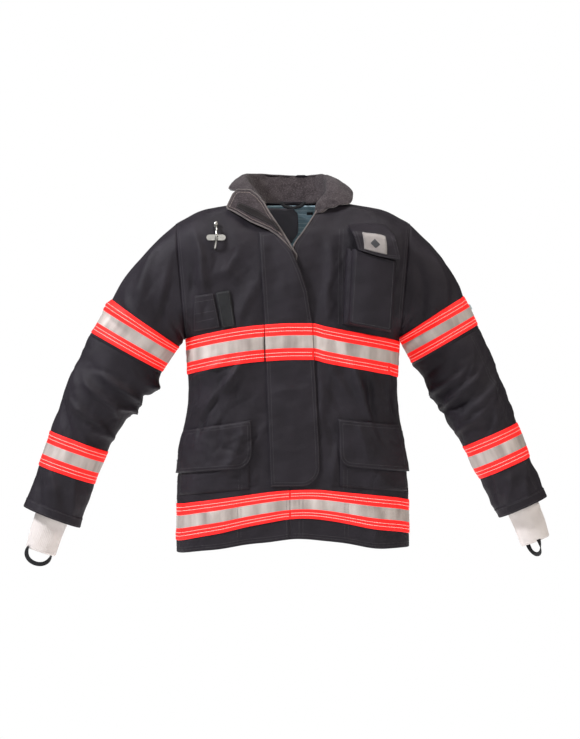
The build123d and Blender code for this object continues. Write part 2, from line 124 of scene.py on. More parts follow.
bodyFolds = [
    (-150, -395, 62, 70, 9, 4.5),
    (-172, -430, 70, 60, 8, -3.5),
    (-120, -520, 80, 60, 14, 2.5),
    (-190, -360, 35, 50, 8, 3.0),
    (-90, -200, 75, 80, 16, 2.2),
    (-190, -130, 105, 60, 12, 3.2),
    (-215, -190, 95, 55, 9, -3.0),
    (-140, -150, 70, 60, 14, 2.2),
    (140, -390, 118, 85, 9, 4.8),
    (165, -420, 110, 70, 8, -3.5),
    (95, -370, 130, 60, 10, 3.0),
    (205, -380, 100, 60, 8, 3.5),
    (75, -170, 95, 80, 14, 2.4),
    (60, -420, 100, 60, 12, 2.0),
    (215, -150, 82, 65, 10, 3.5),
    (228, -200, 88, 50, 8, -3.2),
    (85, -560, 95, 50, 12, 2.0),
    (-95, -320, 85, 60, 14, 1.6),
    (-175, -680, 88, 40, 16, 2.2),
    (175, -690, 92, 40, 16, 2.2),
    (480, -300, 80, 110, 18, 4.0),
    (560, -420, 95, 120, 16, 4.5),
    (640, -330, 100, 110, 18, 3.5),
    (520, -560, 85, 90, 22, 3.5),
    (620, -600, 98, 90, 20, -3.0),
    (430, -480, 75, 80, 14, 3.5),
    (-440, -470, 100, 80, 14, 3.5),
    (-500, -330, 98, 110, 18, 3.5),
    (-600, -470, 88, 90, 16, 3.0),
]


def scatterCreases(seed, count, across, down, lean, height):
    # many short, shallow creases, spread by chance but the same each time
    draw = np.random.default_rng(seed)
    return [
        (draw.uniform(*across), draw.uniform(*down), draw.normal(*lean), draw.uniform(18, 42),
         draw.uniform(2.6, 5.0), draw.uniform(0.5, 1.0) * height * draw.choice([-1, 1]))
        for _ in range(count)
    ]


bodyFolds += scatterCreases(91, 26, (-235, -70), (-600, -340), (50, 30), 1.0)
bodyFolds += scatterCreases(92, 26, (70, 235), (-600, -340), (125, 30), 1.0)
bodyFolds += scatterCreases(93, 16, (-230, -80), (-250, -90), (90, 30), 0.7)
bodyFolds += scatterCreases(94, 16, (60, 230), (-250, -90), (90, 30), 0.7)
bodyFolds += scatterCreases(95, 18, (260, 560), (-620, -110), (90, 25), 0.9)
bodyFolds += scatterCreases(96, 18, (-560, -260), (-620, -110), (90, 25), 0.9)


def crossSection(s, w, d):
    # point and outward direction at distance s round a section, from the centre front
    flat = w - d
    a = np.abs(s)
    side = np.where(s < 0, -1.0, 1.0)
    turn = np.clip((a - flat) / d, 0, math.pi)
    x = np.where(a < flat, a, flat + d * np.sin(turn))
    y = np.where(a < flat, -d, -d * np.cos(turn))
    beyond = a > flat + math.pi * d
    x = np.where(beyond, flat - (a - flat - math.pi * d), x)
    return side * x, y


def sideSeam(z):
    w, d = bodyWidth(z), bodyDepth(z)
    return w - d + d * math.pi / 2


def halfGirth(z):
    w, d = bodyWidth(z), bodyDepth(z)
    return 2 * (w - d) + math.pi * d


def wrapRound(s, girth):
    # distances past the centre back are counted from the other side
    return np.where(s > girth, s - 2 * girth, s)


def alongFromX(x, z):
    # distance round the front for a place seen from the front
    w, d = bodyWidth(z), bodyDepth(z)
    flat = w - d
    a = np.abs(x)
    reach = np.clip((a - flat) / d, 0, 1)
    s = np.where(a < flat, a, flat + d * np.arcsin(reach))
    return np.where(x < 0, -1.0, 1.0) * s


def armholeX(z):
    top, foot = bodyForm["armholeTop"], bodyForm["armholeFoot"]
    share = (top[1] - z) / (top[1] - foot[1])
    return top[0] + (foot[0] - top[0]) * share


def panelEdge(z):
    # where a front panel ends: at the side seam, the armhole or the shoulder seam
    w, d = bodyWidth(z), bodyDepth(z)
    flat = w - d
    reach = np.clip((armholeX(z) - flat) / d, -1, 1)
    cut = np.where(armholeX(z) < flat, armholeX(z), flat + d * np.arcsin(reach))
    seam = flat + d * math.pi / 2
    return np.where(z > bodyForm["armholeFoot"][1], np.minimum(cut, seam), seam)


def bodyRelief(s, z):
    # how far the cloth stands off its form, none at the armholes and the neck
    quiet = easeStep((panelEdge(z) - np.abs(s)) / 45)
    belowArm = easeStep((bodyForm["armholeFoot"][1] - z) / 40)
    quiet = np.maximum(quiet, belowArm)
    behind = easeStep((np.abs(s) - sideSeam(z)) / 40) * (z > bodyForm["armholeFoot"][1])
    backEdge = sideSeam(z) + (sideSeam(z) - panelEdge(z))
    quietBehind = np.maximum(belowArm, easeStep((np.abs(s) - backEdge) / 45) * behind)
    quiet = np.where(np.abs(s) > sideSeam(z), quietBehind, quiet)
    neck = easeStep((2 - z) / 40) * easeStep((halfGirth(z) - np.abs(s)) / 60 + 0.02)
    waves = bodyForm["foldGain"] * foldHeight(s, z, bodyFolds)
    waves = waves + 1.5 * softNoise(s, z, 100, 3) + 0.6 * softNoise(s, z, 28, 4)
    bulge = 4.0 * np.cos(np.clip(s / 150, -1.5, 1.5)) * easeStep((-60 - z) / 80) * (np.abs(s) < 230)
    calm = 1.0
    for x0, z0, radius, fade in bodyForm["calmSpots"]:
        calm = calm * easeStep((np.hypot(s - x0, z - z0) - radius) / fade)
    return (waves * quiet * calm + 0.6 * bulge * (0.2 + 0.8 * calm)) * neck


def formPoint(s, z):
    x, y = crossSection(s, bodyWidth(z), bodyDepth(z))
    return np.stack(np.broadcast_arrays(x, y + middleY, z), -1)


def bodyPoint(s, z, lift=0.0):
    s, z = np.broadcast_arrays(np.asarray(s, float), np.asarray(z, float))
    base = formPoint(s, z)
    ds = formPoint(s + 0.8, z) - formPoint(s - 0.8, z)
    dz = formPoint(s, z + 0.8) - formPoint(s, np.minimum(z - 0.8, 4.4))
    normal = np.cross(ds, dz)
    normal /= np.linalg.norm(normal, axis=-1, keepdims=True) + 1e-9
    return base + normal * (bodyRelief(s, z) + lift)[..., None]


def frontPoint(x, z, lift=0.0):
    return bodyPoint(alongFromX(np.asarray(x, float), np.asarray(z, float)), z, lift)


# meshes


def makeObject(name, points, faces, uv=None, materials=(), faceMaterials=None, smooth=True):
    mesh = bpy.data.meshes.new(name)
    mesh.from_pydata((np.asarray(points) * mm).tolist(), [], [tuple(f) for f in faces])
    if uv is not None:
        layer = mesh.uv_layers.new(name="cloth")
        loops = np.zeros(len(mesh.loops), int)
        mesh.loops.foreach_get("vertex_index", loops)
        layer.data.foreach_set("uv", np.asarray(uv, float)[loops].ravel() * mm)
    for material in materials:
        mesh.materials.append(material)
    if faceMaterials is not None:
        mesh.polygons.foreach_set("material_index", np.asarray(faceMaterials, np.int32))
    if smooth:
        mesh.polygons.foreach_set("use_smooth", [True] * len(mesh.polygons))
    obj = bpy.data.objects.new(name, mesh)
    bpy.context.scene.collection.objects.link(obj)
    return obj


def fit(obj, body, node):
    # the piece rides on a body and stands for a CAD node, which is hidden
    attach(obj, body)
    if node:
        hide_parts(node)
    return obj


def gridFaces(rows, cols, closed=False):
    r, c = np.meshgrid(np.arange(rows - 1), np.arange(cols if closed else cols - 1), indexing="ij")
    nextCol = (c + 1) % cols
    quad = [r * cols + c, r * cols + nextCol, (r + 1) * cols + nextCol, (r + 1) * cols + c]
    return np.stack([q.ravel() for q in quad], -1)


def settle(obj):
    # applies an object's modifiers and keeps plain mesh data
    graph = bpy.context.evaluated_depsgraph_get()
    mesh = bpy.data.meshes.new_from_object(obj.evaluated_get(graph))
    obj.modifiers.clear()
    old = obj.data
    obj.data = mesh
    bpy.data.meshes.remove(old)
    return obj


def thicken(obj, thickness):
    # cloth gets its thickness inwards, so the outside stays where it was placed
    wall = obj.modifiers.new("wall", "SOLIDIFY")
    wall.thickness = thickness * mm
    wall.offset = -1
    wall.use_rim = True
    return settle(obj)


def gridSheet(name, points, uv, materials, thickness, closed=False, flip=False, faceMaterials=None):
    rows, cols = points.shape[:2]
    faces = gridFaces(rows, cols, closed)
    if flip:
        faces = faces[:, ::-1]
    obj = makeObject(name, points.reshape(-1, 3), faces, uv.reshape(-1, 2), materials, faceMaterials)
    return thicken(obj, thickness) if thickness else obj


def roundedOutline(corners, spacing=3.0):
    # closed outline through (x, z) or (x, z, radius) corners, evenly divided
    points = []
    count = len(corners)
    for i, corner in enumerate(corners):
        here = np.array(corner[:2], float)
        radius = corner[2] if len(corner) > 2 else 0
        if not radius:
            points.append(here)
            continue
        before = np.array(corners[i - 1][:2], float) - here
        after = np.array(corners[(i + 1) % count][:2], float) - here
        before /= np.linalg.norm(before)
        after /= np.linalg.norm(after)
        half = math.acos(np.clip(before @ after, -1, 1)) / 2
        reach = radius / math.tan(half)
        middle = before + after
        centre = here + middle / np.linalg.norm(middle) * radius / math.sin(half)
        start, finish = here + before * reach - centre, here + after * reach - centre
        for t in np.linspace(0, 1, 9):
            ray = start * (1 - t) + finish * t
            points.append(centre + ray / np.linalg.norm(ray) * radius)
    points = np.array(points + [points[0]])
    dense = []
    for a, b in zip(points, points[1:]):
        pieces = max(1, int(np.linalg.norm(b - a) / spacing))
        dense += [a + (b - a) * k / pieces for k in range(pieces)]
    return np.array(dense)


def outlineDistance(points, outline):
    ends = np.roll(outline, -1, 0)
    best = np.full(len(points), 1e9)
    for a, b in zip(outline, ends):
        edge = b - a
        t = np.clip(((points - a) @ edge) / (edge @ edge + 1e-9), 0, 1)
        best = np.minimum(best, np.linalg.norm(points - a - t[:, None] * edge, axis=1))
    return best


def cutPatch(name, outline, place, thickness, materials, edgeRound=1.6, spacing=3.6, low=0.4, relief=None):
    # cloth cut to an outline: a top, a flat underside and a rolled edge between them
    outline = np.asarray(outline)
    lo, hi = outline.min(0), outline.max(0)
    xs = np.arange(lo[0], hi[0], spacing)
    zs = np.arange(lo[1], hi[1], spacing * 0.87)
    gx, gz = np.meshgrid(xs, zs)
    gx = gx + (np.arange(len(zs)) % 2)[:, None] * spacing / 2
    inner = np.stack([gx.ravel(), gz.ravel()], -1)
    ring = outline
    nxt = np.roll(ring, -1, 0)
    inside = np.zeros(len(inner), bool)
    for a, b in zip(ring, nxt):
        crosses = (a[1] > inner[:, 1]) != (b[1] > inner[:, 1])
        with np.errstate(divide="ignore", invalid="ignore"):
            at = (b[0] - a[0]) * (inner[:, 1] - a[1]) / (b[1] - a[1]) + a[0]
        inside ^= crosses & (inner[:, 0] < at)
    inner = inner[inside]
    inner = inner[outlineDistance(inner, ring) > spacing * 0.55]
    flat = np.vstack([ring, inner])
    count = len(ring)
    edges = [(i, (i + 1) % count) for i in range(count)]
    verts, _, faces, *_ = delaunay_2d_cdt([Vector(p) for p in flat], edges, [], 1, 1e-5)
    flat = np.array([tuple(v) for v in verts])
    away = outlineDistance(flat, ring)
    rim = 1 - np.clip(away / edgeRound, 0, 1)
    top = low + thickness * (0.35 + 0.65 * np.sqrt(np.clip(1 - rim**2, 0, 1)))
    if relief is not None:
        top = top + relief(flat[:, 0], flat[:, 1], away)
    upper = place(flat[:, 0], flat[:, 1], top)
    lower = place(flat[:, 0], flat[:, 1], np.full(len(flat), low))
    total = len(flat)
    allFaces = []
    for f in faces:
        a, b, c = (flat[f[k]] for k in (0, 1, 2))
        turn = (b[0] - a[0]) * (c[1] - a[1]) - (b[1] - a[1]) * (c[0] - a[0])
        f = list(f) if turn > 0 else list(f)[::-1]
        allFaces.append(f)
        allFaces.append([i + total for i in f[::-1]])
    seen = {}
    for f in allFaces[::2]:
        for i, j in zip(f, f[1:] + f[:1]):
            seen[(i, j)] = True
    for i, j in seen:
        if (j, i) not in seen:
            allFaces.append([j, i, i + total, j + total])
    return makeObject(name, np.vstack([upper, lower]), allFaces, np.vstack([flat, flat]), materials)


# rows made by Geometry Nodes


def rowTree(name, shape):
    # sets one small shape at every pitch along the lines it is given, standing on their lift vector
    tree = bpy.data.node_groups.new(name, "GeometryNodeTree")
    sockets = tree.interface
    sockets.new_socket("Geometry", in_out="INPUT", socket_type="NodeSocketGeometry")
    for label in ("Pitch", "Length", "Width", "Height"):
        sockets.new_socket(label, in_out="INPUT", socket_type="NodeSocketFloat")
    sockets.new_socket("Finish", in_out="INPUT", socket_type="NodeSocketMaterial")
    sockets.new_socket("Geometry", in_out="OUTPUT", socket_type="NodeSocketGeometry")
    make, link = tree.nodes.new, tree.links.new
    given, result = make("NodeGroupInput"), make("NodeGroupOutput")
    toCurve, divide = make("GeometryNodeMeshToCurve"), make("GeometryNodeResampleCurve")
    divide.mode = "LENGTH"
    link(given.outputs["Geometry"], toCurve.inputs["Mesh"])
    link(toCurve.outputs["Curve"], divide.inputs["Curve"])
    link(given.outputs["Pitch"], divide.inputs["Length"])
    if shape == "bead":
        unit = make("GeometryNodeMeshUVSphere")
        unit.inputs["Segments"].default_value = 6
        unit.inputs["Rings"].default_value = 4
        unit.inputs["Radius"].default_value = 0.5
    else:
        unit = make("GeometryNodeMeshCube")
        unit.inputs["Size"].default_value = (1, 1, 1)
    size, stretch = make("ShaderNodeCombineXYZ"), make("GeometryNodeTransform")
    for axis, label in zip("XYZ", ("Length", "Width", "Height")):
        link(given.outputs[label], size.inputs[axis])
    link(unit.outputs["Mesh"], stretch.inputs["Geometry"])
    link(size.outputs[0], stretch.inputs["Scale"])
    tangent, lift = make("GeometryNodeInputTangent"), make("GeometryNodeInputNamedAttribute")
    lift.data_type = "FLOAT_VECTOR"
    lift.inputs["Name"].default_value = "lift"
    along, stand = make("FunctionNodeAlignRotationToVector"), make("FunctionNodeAlignRotationToVector")
    along.axis, stand.axis, stand.pivot_axis = "X", "Z", "X"
    link(tangent.outputs[0], along.inputs["Vector"])
    link(along.outputs["Rotation"], stand.inputs["Rotation"])
    link(lift.outputs["Attribute"], stand.inputs["Vector"])
    place, real, finish = (
        make("GeometryNodeInstanceOnPoints"),
        make("GeometryNodeRealizeInstances"),
        make("GeometryNodeSetMaterial"),
    )
    link(divide.outputs["Curve"], place.inputs["Points"])
    link(stretch.outputs["Geometry"], place.inputs["Instance"])
    link(stand.outputs["Rotation"], place.inputs["Rotation"])
    link(place.outputs["Instances"], real.inputs["Geometry"])
    link(real.outputs["Geometry"], finish.inputs["Geometry"])
    link(given.outputs["Finish"], finish.inputs["Material"])
    link(finish.outputs["Geometry"], result.inputs["Geometry"])
    return tree


def layRow(name, lines, tree, sizes, material):
    # lines: list of (points, lifts) in millimetres
    points = np.vstack([p for p, _ in lines])
    lifts = np.vstack([n for _, n in lines])
    edges, start = [], 0
    for p, _ in lines:
        edges += [(start + i, start + i + 1) for i in range(len(p) - 1)]
        start += len(p)
    mesh = bpy.data.meshes.new(name)
    mesh.from_pydata((points * mm).tolist(), edges, [])
    attribute = mesh.attributes.new("lift", "FLOAT_VECTOR", "POINT")
    attribute.data.foreach_set("vector", lifts.astype(np.float32).ravel())
    obj = bpy.data.objects.new(name, mesh)
    bpy.context.scene.collection.objects.link(obj)
    row = obj.modifiers.new("row", "NODES")
    row.node_group = tree
    wanted = dict(zip(("Pitch", "Length", "Width", "Height"), (v * mm for v in sizes)))
    for item in tree.interface.items_tree:
        if item.in_out == "INPUT" and item.name in wanted:
            row[item.identifier] = wanted[item.name]
        if item.in_out == "INPUT" and item.name == "Finish":
            row[item.identifier] = material
    settle(obj)
    count = len(obj.data.polygons)
    obj.data.materials.clear()
    obj.data.materials.append(material)
    obj.data.polygons.foreach_set("material_index", [0] * count)
    obj.data.polygons.foreach_set("use_smooth", [True] * count)
    return obj


stitchTree = rowTree("stitchRow", "bead")
toothTree = rowTree("toothRow", "block")
stitchLines = {}


def sew(body, thread, place, route, lift):
    # a stitched line on a surface: route in the surface's own two measures, lift above it
    route = np.asarray(route, float)
    dense = []
    for a, b in zip(route, route[1:]):
        pieces = max(1, int(np.linalg.norm(b - a) / 5))
        dense += [a + (b - a) * k / pieces for k in range(pieces)]
    dense = np.array(dense + [route[-1]])
    flat = place(dense[:, 0], dense[:, 1], np.full(len(dense), float(lift)))
    proud = place(dense[:, 0], dense[:, 1], np.full(len(dense), lift + 1.0))
    stitchLines.setdefault((body, thread), []).append((flat, proud - flat))


def insetLoop(outline, inset):
    # the outline moved inwards, closed
    outline = np.asarray(outline, float)
    after = np.roll(outline, -1, 0) - outline
    before = outline - np.roll(outline, 1, 0)
    run = after / (np.linalg.norm(after, axis=1, keepdims=True) + 1e-9)
    run = run + before / (np.linalg.norm(before, axis=1, keepdims=True) + 1e-9)
    run /= np.linalg.norm(run, axis=1, keepdims=True) + 1e-9
    area = np.sum(outline[:, 0] * np.roll(outline[:, 1], -1) - np.roll(outline[:, 0], -1) * outline[:, 1])
    inward = np.stack([-run[:, 1], run[:, 0]], -1) * (1 if area > 0 else -1)
    moved = outline + inward * inset
    moved = moved[outlineDistance(moved, outline) > inset * 0.93]
    return np.vstack([moved, moved[:1]])


# finishes


def startMaterial(name, spec):
    material = bpy.data.materials.new(name)
    material.use_nodes = True
    shader = material.node_tree.nodes["Principled BSDF"]
    shader.inputs["Roughness"].default_value = spec.get("rough", 0.8)
    shader.inputs["Metallic"].default_value = spec.get("metal", 0.0)
    shader.inputs["Sheen Weight"].default_value = spec.get("sheen", 0.0)
    shader.inputs["Sheen Roughness"].default_value = 0.5
    shader.inputs["Specular IOR Level"].default_value = spec.get("specular", 0.3)
    # glow: emission in the surface's own colour, a painted glow that shines with no lamp on it
    if "glow" in spec:
        shader.inputs["Emission Color"].default_value = (*spec["color"], 1)
        shader.inputs["Emission Strength"].default_value = spec["glow"]
    return material, shader


def weaveMaterial(name, spec):
    # woven cloth: crossed threads in the bump, unevenness in the colour, painted highlight streaks on the
    # silver
    material, shader = startMaterial(name, spec)
    make, link = material.node_tree.nodes.new, material.node_tree.links.new
    where = make("ShaderNodeTexCoord")
    turn = make("ShaderNodeMapping")
    turn.inputs["Rotation"].default_value = (0, 0, math.radians(spec.get("twill", 0)))
    link(where.outputs["UV"], turn.inputs["Vector"])
    threads = []
    for direction in ("X", "Y"):
        wave = make("ShaderNodeTexWave")
        wave.bands_direction = direction
        wave.inputs["Scale"].default_value = 0.314 / (spec["thread"] * mm)
        wave.inputs["Distortion"].default_value = 0.6
        wave.inputs["Detail Scale"].default_value = 2.0
        link(turn.outputs["Vector"], wave.inputs["Vector"])
        threads.append(wave)
    cross = make("ShaderNodeMath")
    cross.operation = "MULTIPLY"
    link(threads[0].outputs["Fac"], cross.inputs[0])
    link(threads[1].outputs["Fac"], cross.inputs[1])
    grain = make("ShaderNodeTexNoise")
    grain.inputs["Scale"].default_value = spec.get("grainScale", 900)
    grain.inputs["Detail"].default_value = 3
    link(where.outputs["Object"], grain.inputs["Vector"])
    height = make("ShaderNodeMath")
    height.operation = "MULTIPLY_ADD"
    height.inputs[1].default_value = spec.get("grain", 0.4)
    link(grain.outputs["Fac"], height.inputs[0])
    link(cross.outputs[0], height.inputs[2])
    bump = make("ShaderNodeBump")
    bump.inputs["Strength"].default_value = spec.get("bump", 0.5)
    bump.inputs["Distance"].default_value = spec["thread"] * mm * 0.35
    link(height.outputs[0], bump.inputs["Height"])
    link(bump.outputs["Normal"], shader.inputs["Normal"])
    toneAndGlintPatches = make("ShaderNodeTexNoise")
    toneAndGlintPatches.inputs["Scale"].default_value = spec.get("patchScale", 22)
    toneAndGlintPatches.inputs["Detail"].default_value = 4
    # on the silver the patches are stretched into streaks: painted highlight, lighter and darker stripes
    # laid into the base colour
    if spec.get("paintedGlintStreaks"):
        stretch = make("ShaderNodeMapping")
        stretch.inputs["Scale"].default_value = (1.3, 0.22, 1)
        link(where.outputs["UV"], stretch.inputs["Vector"])
        link(stretch.outputs["Vector"], toneAndGlintPatches.inputs["Vector"])
    else:
        link(where.outputs["Object"], toneAndGlintPatches.inputs["Vector"])
    tone = make("ShaderNodeMix")
    tone.data_type = "RGBA"
    tone.inputs["A"].default_value = (*spec["color"], 1)
    tone.inputs["B"].default_value = (*spec["second"], 1)
    ramp = make("ShaderNodeMapRange")
    ramp.inputs["From Min"].default_value = 0.35
    ramp.inputs["From Max"].default_value = 0.65
    link(toneAndGlintPatches.outputs["Fac"], ramp.inputs["Value"])
    link(ramp.outputs["Result"], tone.inputs["Factor"])
    colour = tone.outputs["Result"]
    for label, amount in (("fleck", spec.get("fleck", 0)), ("shadow", spec.get("threadShade", 0.25))):
        if not amount:
            continue
        blend = make("ShaderNodeMix")
        blend.data_type = "RGBA"
        if label == "fleck":
            fine = make("ShaderNodeTexNoise")
            fine.inputs["Scale"].default_value = spec["fleckScale"]
            fine.inputs["Detail"].default_value = 2
            narrow = make("ShaderNodeMapRange")
            narrow.inputs["From Min"].default_value = 0.5
            narrow.inputs["From Max"].default_value = 0.68
            narrow.inputs["To Max"].default_value = amount
            link(where.outputs["Object"], fine.inputs["Vector"])
            link(fine.outputs["Fac"], narrow.inputs["Value"])
            link(narrow.outputs["Result"], blend.inputs["Factor"])
            blend.inputs["B"].default_value = (*spec["fleckColor"], 1)
        else:
            blend.blend_type = "MULTIPLY"
            blend.inputs["Factor"].default_value = amount
            link(cross.outputs[0], blend.inputs["B"])
        link(colour, blend.inputs["A"])
        colour = blend.outputs["Result"]
    if "lineEvery" in spec:
        grid = make("ShaderNodeTexBrick")
        grid.offset = 0
        grid.inputs["Scale"].default_value = 1 / (spec["lineEvery"] * mm)
        grid.inputs["Mortar Size"].default_value = 0.06
        grid.inputs["Brick Width"].default_value = 1
        grid.inputs["Row Height"].default_value = 1
        grid.inputs["Color1"].default_value = (0, 0, 0, 1)
        grid.inputs["Color2"].default_value = (0.25, 0.25, 0.25, 1)
        grid.inputs["Mortar"].default_value = (1, 1, 1, 1)
        link(where.outputs["UV"], grid.inputs["Vector"])
        checks = make("ShaderNodeMix")
        checks.data_type = "RGBA"
        link(grid.outputs["Color"], checks.inputs["Factor"])
        link(colour, checks.inputs["A"])
        checks.inputs["B"].default_value = (*spec["lineColor"], 1)
        colour = checks.outputs["Result"]
    link(colour, shader.inputs["Base Color"])
    return material


def smoothMaterial(name, spec):
    # metal, moulded plastic and thread: even colour, fine scuffs in the roughness
    material, shader = startMaterial(name, spec)
    make, link = material.node_tree.nodes.new, material.node_tree.links.new
    where, scuff = make("ShaderNodeTexCoord"), make("ShaderNodeTexNoise")
    scuff.inputs["Scale"].default_value = spec.get("scuffScale", 300)
    scuff.inputs["Detail"].default_value = 5
    link(where.outputs["Object"], scuff.inputs["Vector"])
    rough = make("ShaderNodeMapRange")
    rough.inputs["To Min"].default_value = spec["rough"] * 0.7
    rough.inputs["To Max"].default_value = min(1, spec["rough"] * 1.4)
    link(scuff.outputs["Fac"], rough.inputs["Value"])
    link(rough.outputs["Result"], shader.inputs["Roughness"])
    tone = make("ShaderNodeMix")
    tone.data_type = "RGBA"
    tone.inputs["A"].default_value = (*spec["color"], 1)
    tone.inputs["B"].default_value = (*(c * spec.get("worn", 0.8) for c in spec["color"]), 1)
    link(scuff.outputs["Fac"], tone.inputs["Factor"])
    link(tone.outputs["Result"], shader.inputs["Base Color"])
    bump = make("ShaderNodeBump")
    bump.inputs["Strength"].default_value = spec.get("bump", 0.15)
    bump.inputs["Distance"].default_value = 0.0002
    link(scuff.outputs["Fac"], bump.inputs["Height"])
    link(bump.outputs["Normal"], shader.inputs["Normal"])
    return material


finishes = {
    "shellCloth": {"color": (0.0062, 0.0044, 0.0068), "second": (0.0106, 0.008, 0.0115), "thread": 0.9,
                   "twill": 45, "rough": 0.58, "sheen": 0.0, "specular": 0.15, "bump": 0.6, "fleck": 0.22,
                   "fleckScale": 1500,
                   "fleckColor": (0.048, 0.038, 0.05)},
    "shellLining": {"color": (0.07, 0.063, 0.075), "second": (0.09, 0.082, 0.095), "thread": 1.0,
                    "rough": 0.7, "sheen": 0.2},
    "heather": {"color": (0.026, 0.02, 0.022), "second": (0.04, 0.032, 0.034), "thread": 1.6, "rough": 0.95,
                "sheen": 0.06, "specular": 0.08, "bump": 1.0, "fleck": 0.6, "fleckScale": 480,
                "fleckColor": (0.1, 0.084, 0.086), "patchScale": 60, "grain": 1.2},
    "binding": {"color": (0.06, 0.047, 0.045), "second": (0.1, 0.08, 0.075), "thread": 1.2, "twill": 30,
                "rough": 0.85, "sheen": 0.3, "bump": 0.8},
    # the fluorescent trim's glow is painted: emission makes it shine whatever light falls on it
    "fluorescent": {"color": (0.82, 0.009, 0.008), "second": (0.88, 0.014, 0.012), "thread": 1.1,
                    "rough": 0.6, "glow": 0.32, "bump": 0.35, "specular": 0.2, "patchScale": 30,
                    "threadShade": 0.12},
    # the silver's brighter second tone, laid in streaks across the band, is painted highlight
    "reflective": {"color": (0.2, 0.165, 0.148), "second": (0.42, 0.37, 0.342), "paintedGlintStreaks": True,
                   "thread": 1.6, "twill": 45, "rough": 0.62, "metal": 0.12, "specular": 0.4,
                   "bump": 0.25, "patchScale": 20, "threadShade": 0.08},
    "quilt": {"color": (0.11, 0.19, 0.235), "second": (0.17, 0.27, 0.32), "thread": 1.0, "rough": 0.75,
              "sheen": 0.2, "lineEvery": 9, "lineColor": (0.33, 0.43, 0.47), "bump": 0.4},
    "knit": {"color": (0.6, 0.54, 0.51), "second": (0.65, 0.59, 0.56), "thread": 1.4, "rough": 0.95,
             "sheen": 0.3, "bump": 0.9, "grain": 0.9, "patchScale": 40},
    "blackTape": {"color": (0.008, 0.008, 0.009), "second": (0.013, 0.013, 0.014), "thread": 1.3,
                  "rough": 0.65, "specular": 0.15, "bump": 0.9},
    "gripHooks": {"color": (0.006, 0.0045, 0.0045), "second": (0.012, 0.009, 0.009), "specular": 0.15,
                  "thread": 1.5, "twill": 45, "rough": 0.75, "bump": 1.0, "grain": 1.4},
    "embroidery": {"color": (0.2, 0.175, 0.165), "second": (0.27, 0.245, 0.23), "thread": 1.3, "rough": 0.6,
                   "sheen": 0.3, "bump": 0.9},
}
cloth = {name: weaveMaterial(name, spec) for name, spec in finishes.items()}
smoothFinishes = {
    "darkThread": {"color": (0.042, 0.038, 0.041), "rough": 0.6},
    # the pale thread glows as well: painted glow from emission
    "paleThread": {"color": (0.95, 0.6, 0.55), "rough": 0.55, "glow": 0.25},
    "whiteThread": {"color": (0.72, 0.68, 0.66), "rough": 0.6},
    "tanThread": {"color": (0.3, 0.24, 0.21), "rough": 0.6},
    "nickel": {"color": (0.3, 0.29, 0.27), "rough": 0.27, "metal": 1.0, "worn": 0.75},
    "brass": {"color": (0.42, 0.37, 0.29), "rough": 0.35, "metal": 1.0},
    "zipTeeth": {"color": (0.05, 0.05, 0.052), "rough": 0.4, "specular": 0.5},
    "markInk": {"color": (0.03, 0.03, 0.032), "rough": 0.7},
}
for name, spec in smoothFinishes.items():
    cloth[name] = smoothMaterial(name, spec)
print("finishes ready")

# the body's panels

bodyPanels = {
    "hemSideRight": -735.0, "hemSideLeft": -726.0, "hemMiddle": -706.0, "hemBack": -704.0,
    "edgeHeights": [-740, -596, -586, -118, -97, -60, -25, 6],
    "leftEdge": [-4.9, -4.9, -1.8, -2, 1, 25, 47, 62],
    "rightEdge": [-4.9, -4.9, -8.2, -8, -14, -35, -52, -64],
    "lowest": -734, "clothThickness": 1.6,
}


def hemLine(s):
    # the hem's height round the body: it rises to the front closing
    sideZ = np.where(s < 0, bodyPanels["hemSideRight"], bodyPanels["hemSideLeft"])
    a = np.abs(s)
    front = bodyPanels["hemMiddle"] + (sideZ - bodyPanels["hemMiddle"]) * easeStep(a / 235)
    back = sideZ + (bodyPanels["hemBack"] - sideZ) * easeStep((a - 300) / 220)
    return np.where(a < 300, front, back) + 1.6 * np.sin(s / 37) + 0.8 * np.sin(s / 17 + 1)


def towardsHem(z, s):
    share = np.clip((-600 - z) / 134, 0, None)
    return np.where(z > -600, z, -600 + share * (hemLine(s) + 600))


def bodySheet(name, lowest, sideRange, lift, material, thickness, top=6.0, step=5.0, plain=False):
    # a panel of the body: sideRange(z) gives its two ends, measured round the body
    levels = np.concatenate([np.arange(top, -60, -3.2), np.arange(-60, lowest, -step), [lowest]])
    first, last = sideRange(levels)
    cols = int(np.max(last - first) / step) + 2
    share = np.linspace(0, 1, cols)[None, :]
    s = first[:, None] + (last - first)[:, None] * share
    z = np.repeat(levels[:, None], cols, 1)
    around = s
    s = wrapRound(s, halfGirth(z))
    z = z if plain else towardsHem(z, s)
    points = bodyPoint(s, z, lift)
    return gridSheet(name, points, np.stack([around, z], -1), [material], thickness, flip=True)


leftEdgeX = smoothCurve(bodyPanels["edgeHeights"], bodyPanels["leftEdge"])
rightEdgeX = smoothCurve(bodyPanels["edgeHeights"], bodyPanels["rightEdge"])
shellMaterial = cloth["shellCloth"]


def leftRange(z):
    return alongFromX(leftEdgeX(z), z), panelEdge(z)


def rightRange(z):
    return -panelEdge(z), alongFromX(rightEdgeX(z), z)


def backRange(z):
    start = 2 * sideSeam(z) - panelEdge(z)
    return start, 2 * halfGirth(z) - start


for name, reach, node in (
    ("leftFront", leftRange, "left_front_shell"),
    ("rightFront", rightRange, "right_front_shell"),
    ("back", backRange, "back_shell"),
):
    panel = bodySheet(name, bodyPanels["lowest"], reach, 0, shellMaterial, bodyPanels["clothThickness"])
    fit(panel, "coat", node)

linings = {
    # depth below the shell's outside, lowest edge, cloth thickness, top edge and mesh step
    "moistureBarrier": (-3.4, -680, 0.5, 0, 9),
    "thermalLiner": (-6.2, -690, 1.2, 1, 6),
    "facings": (-8.2, -700, 1.2, 1, 7),
    "edgeInset": 6, "facingWidth": 46, "padFill": 0.15,
}


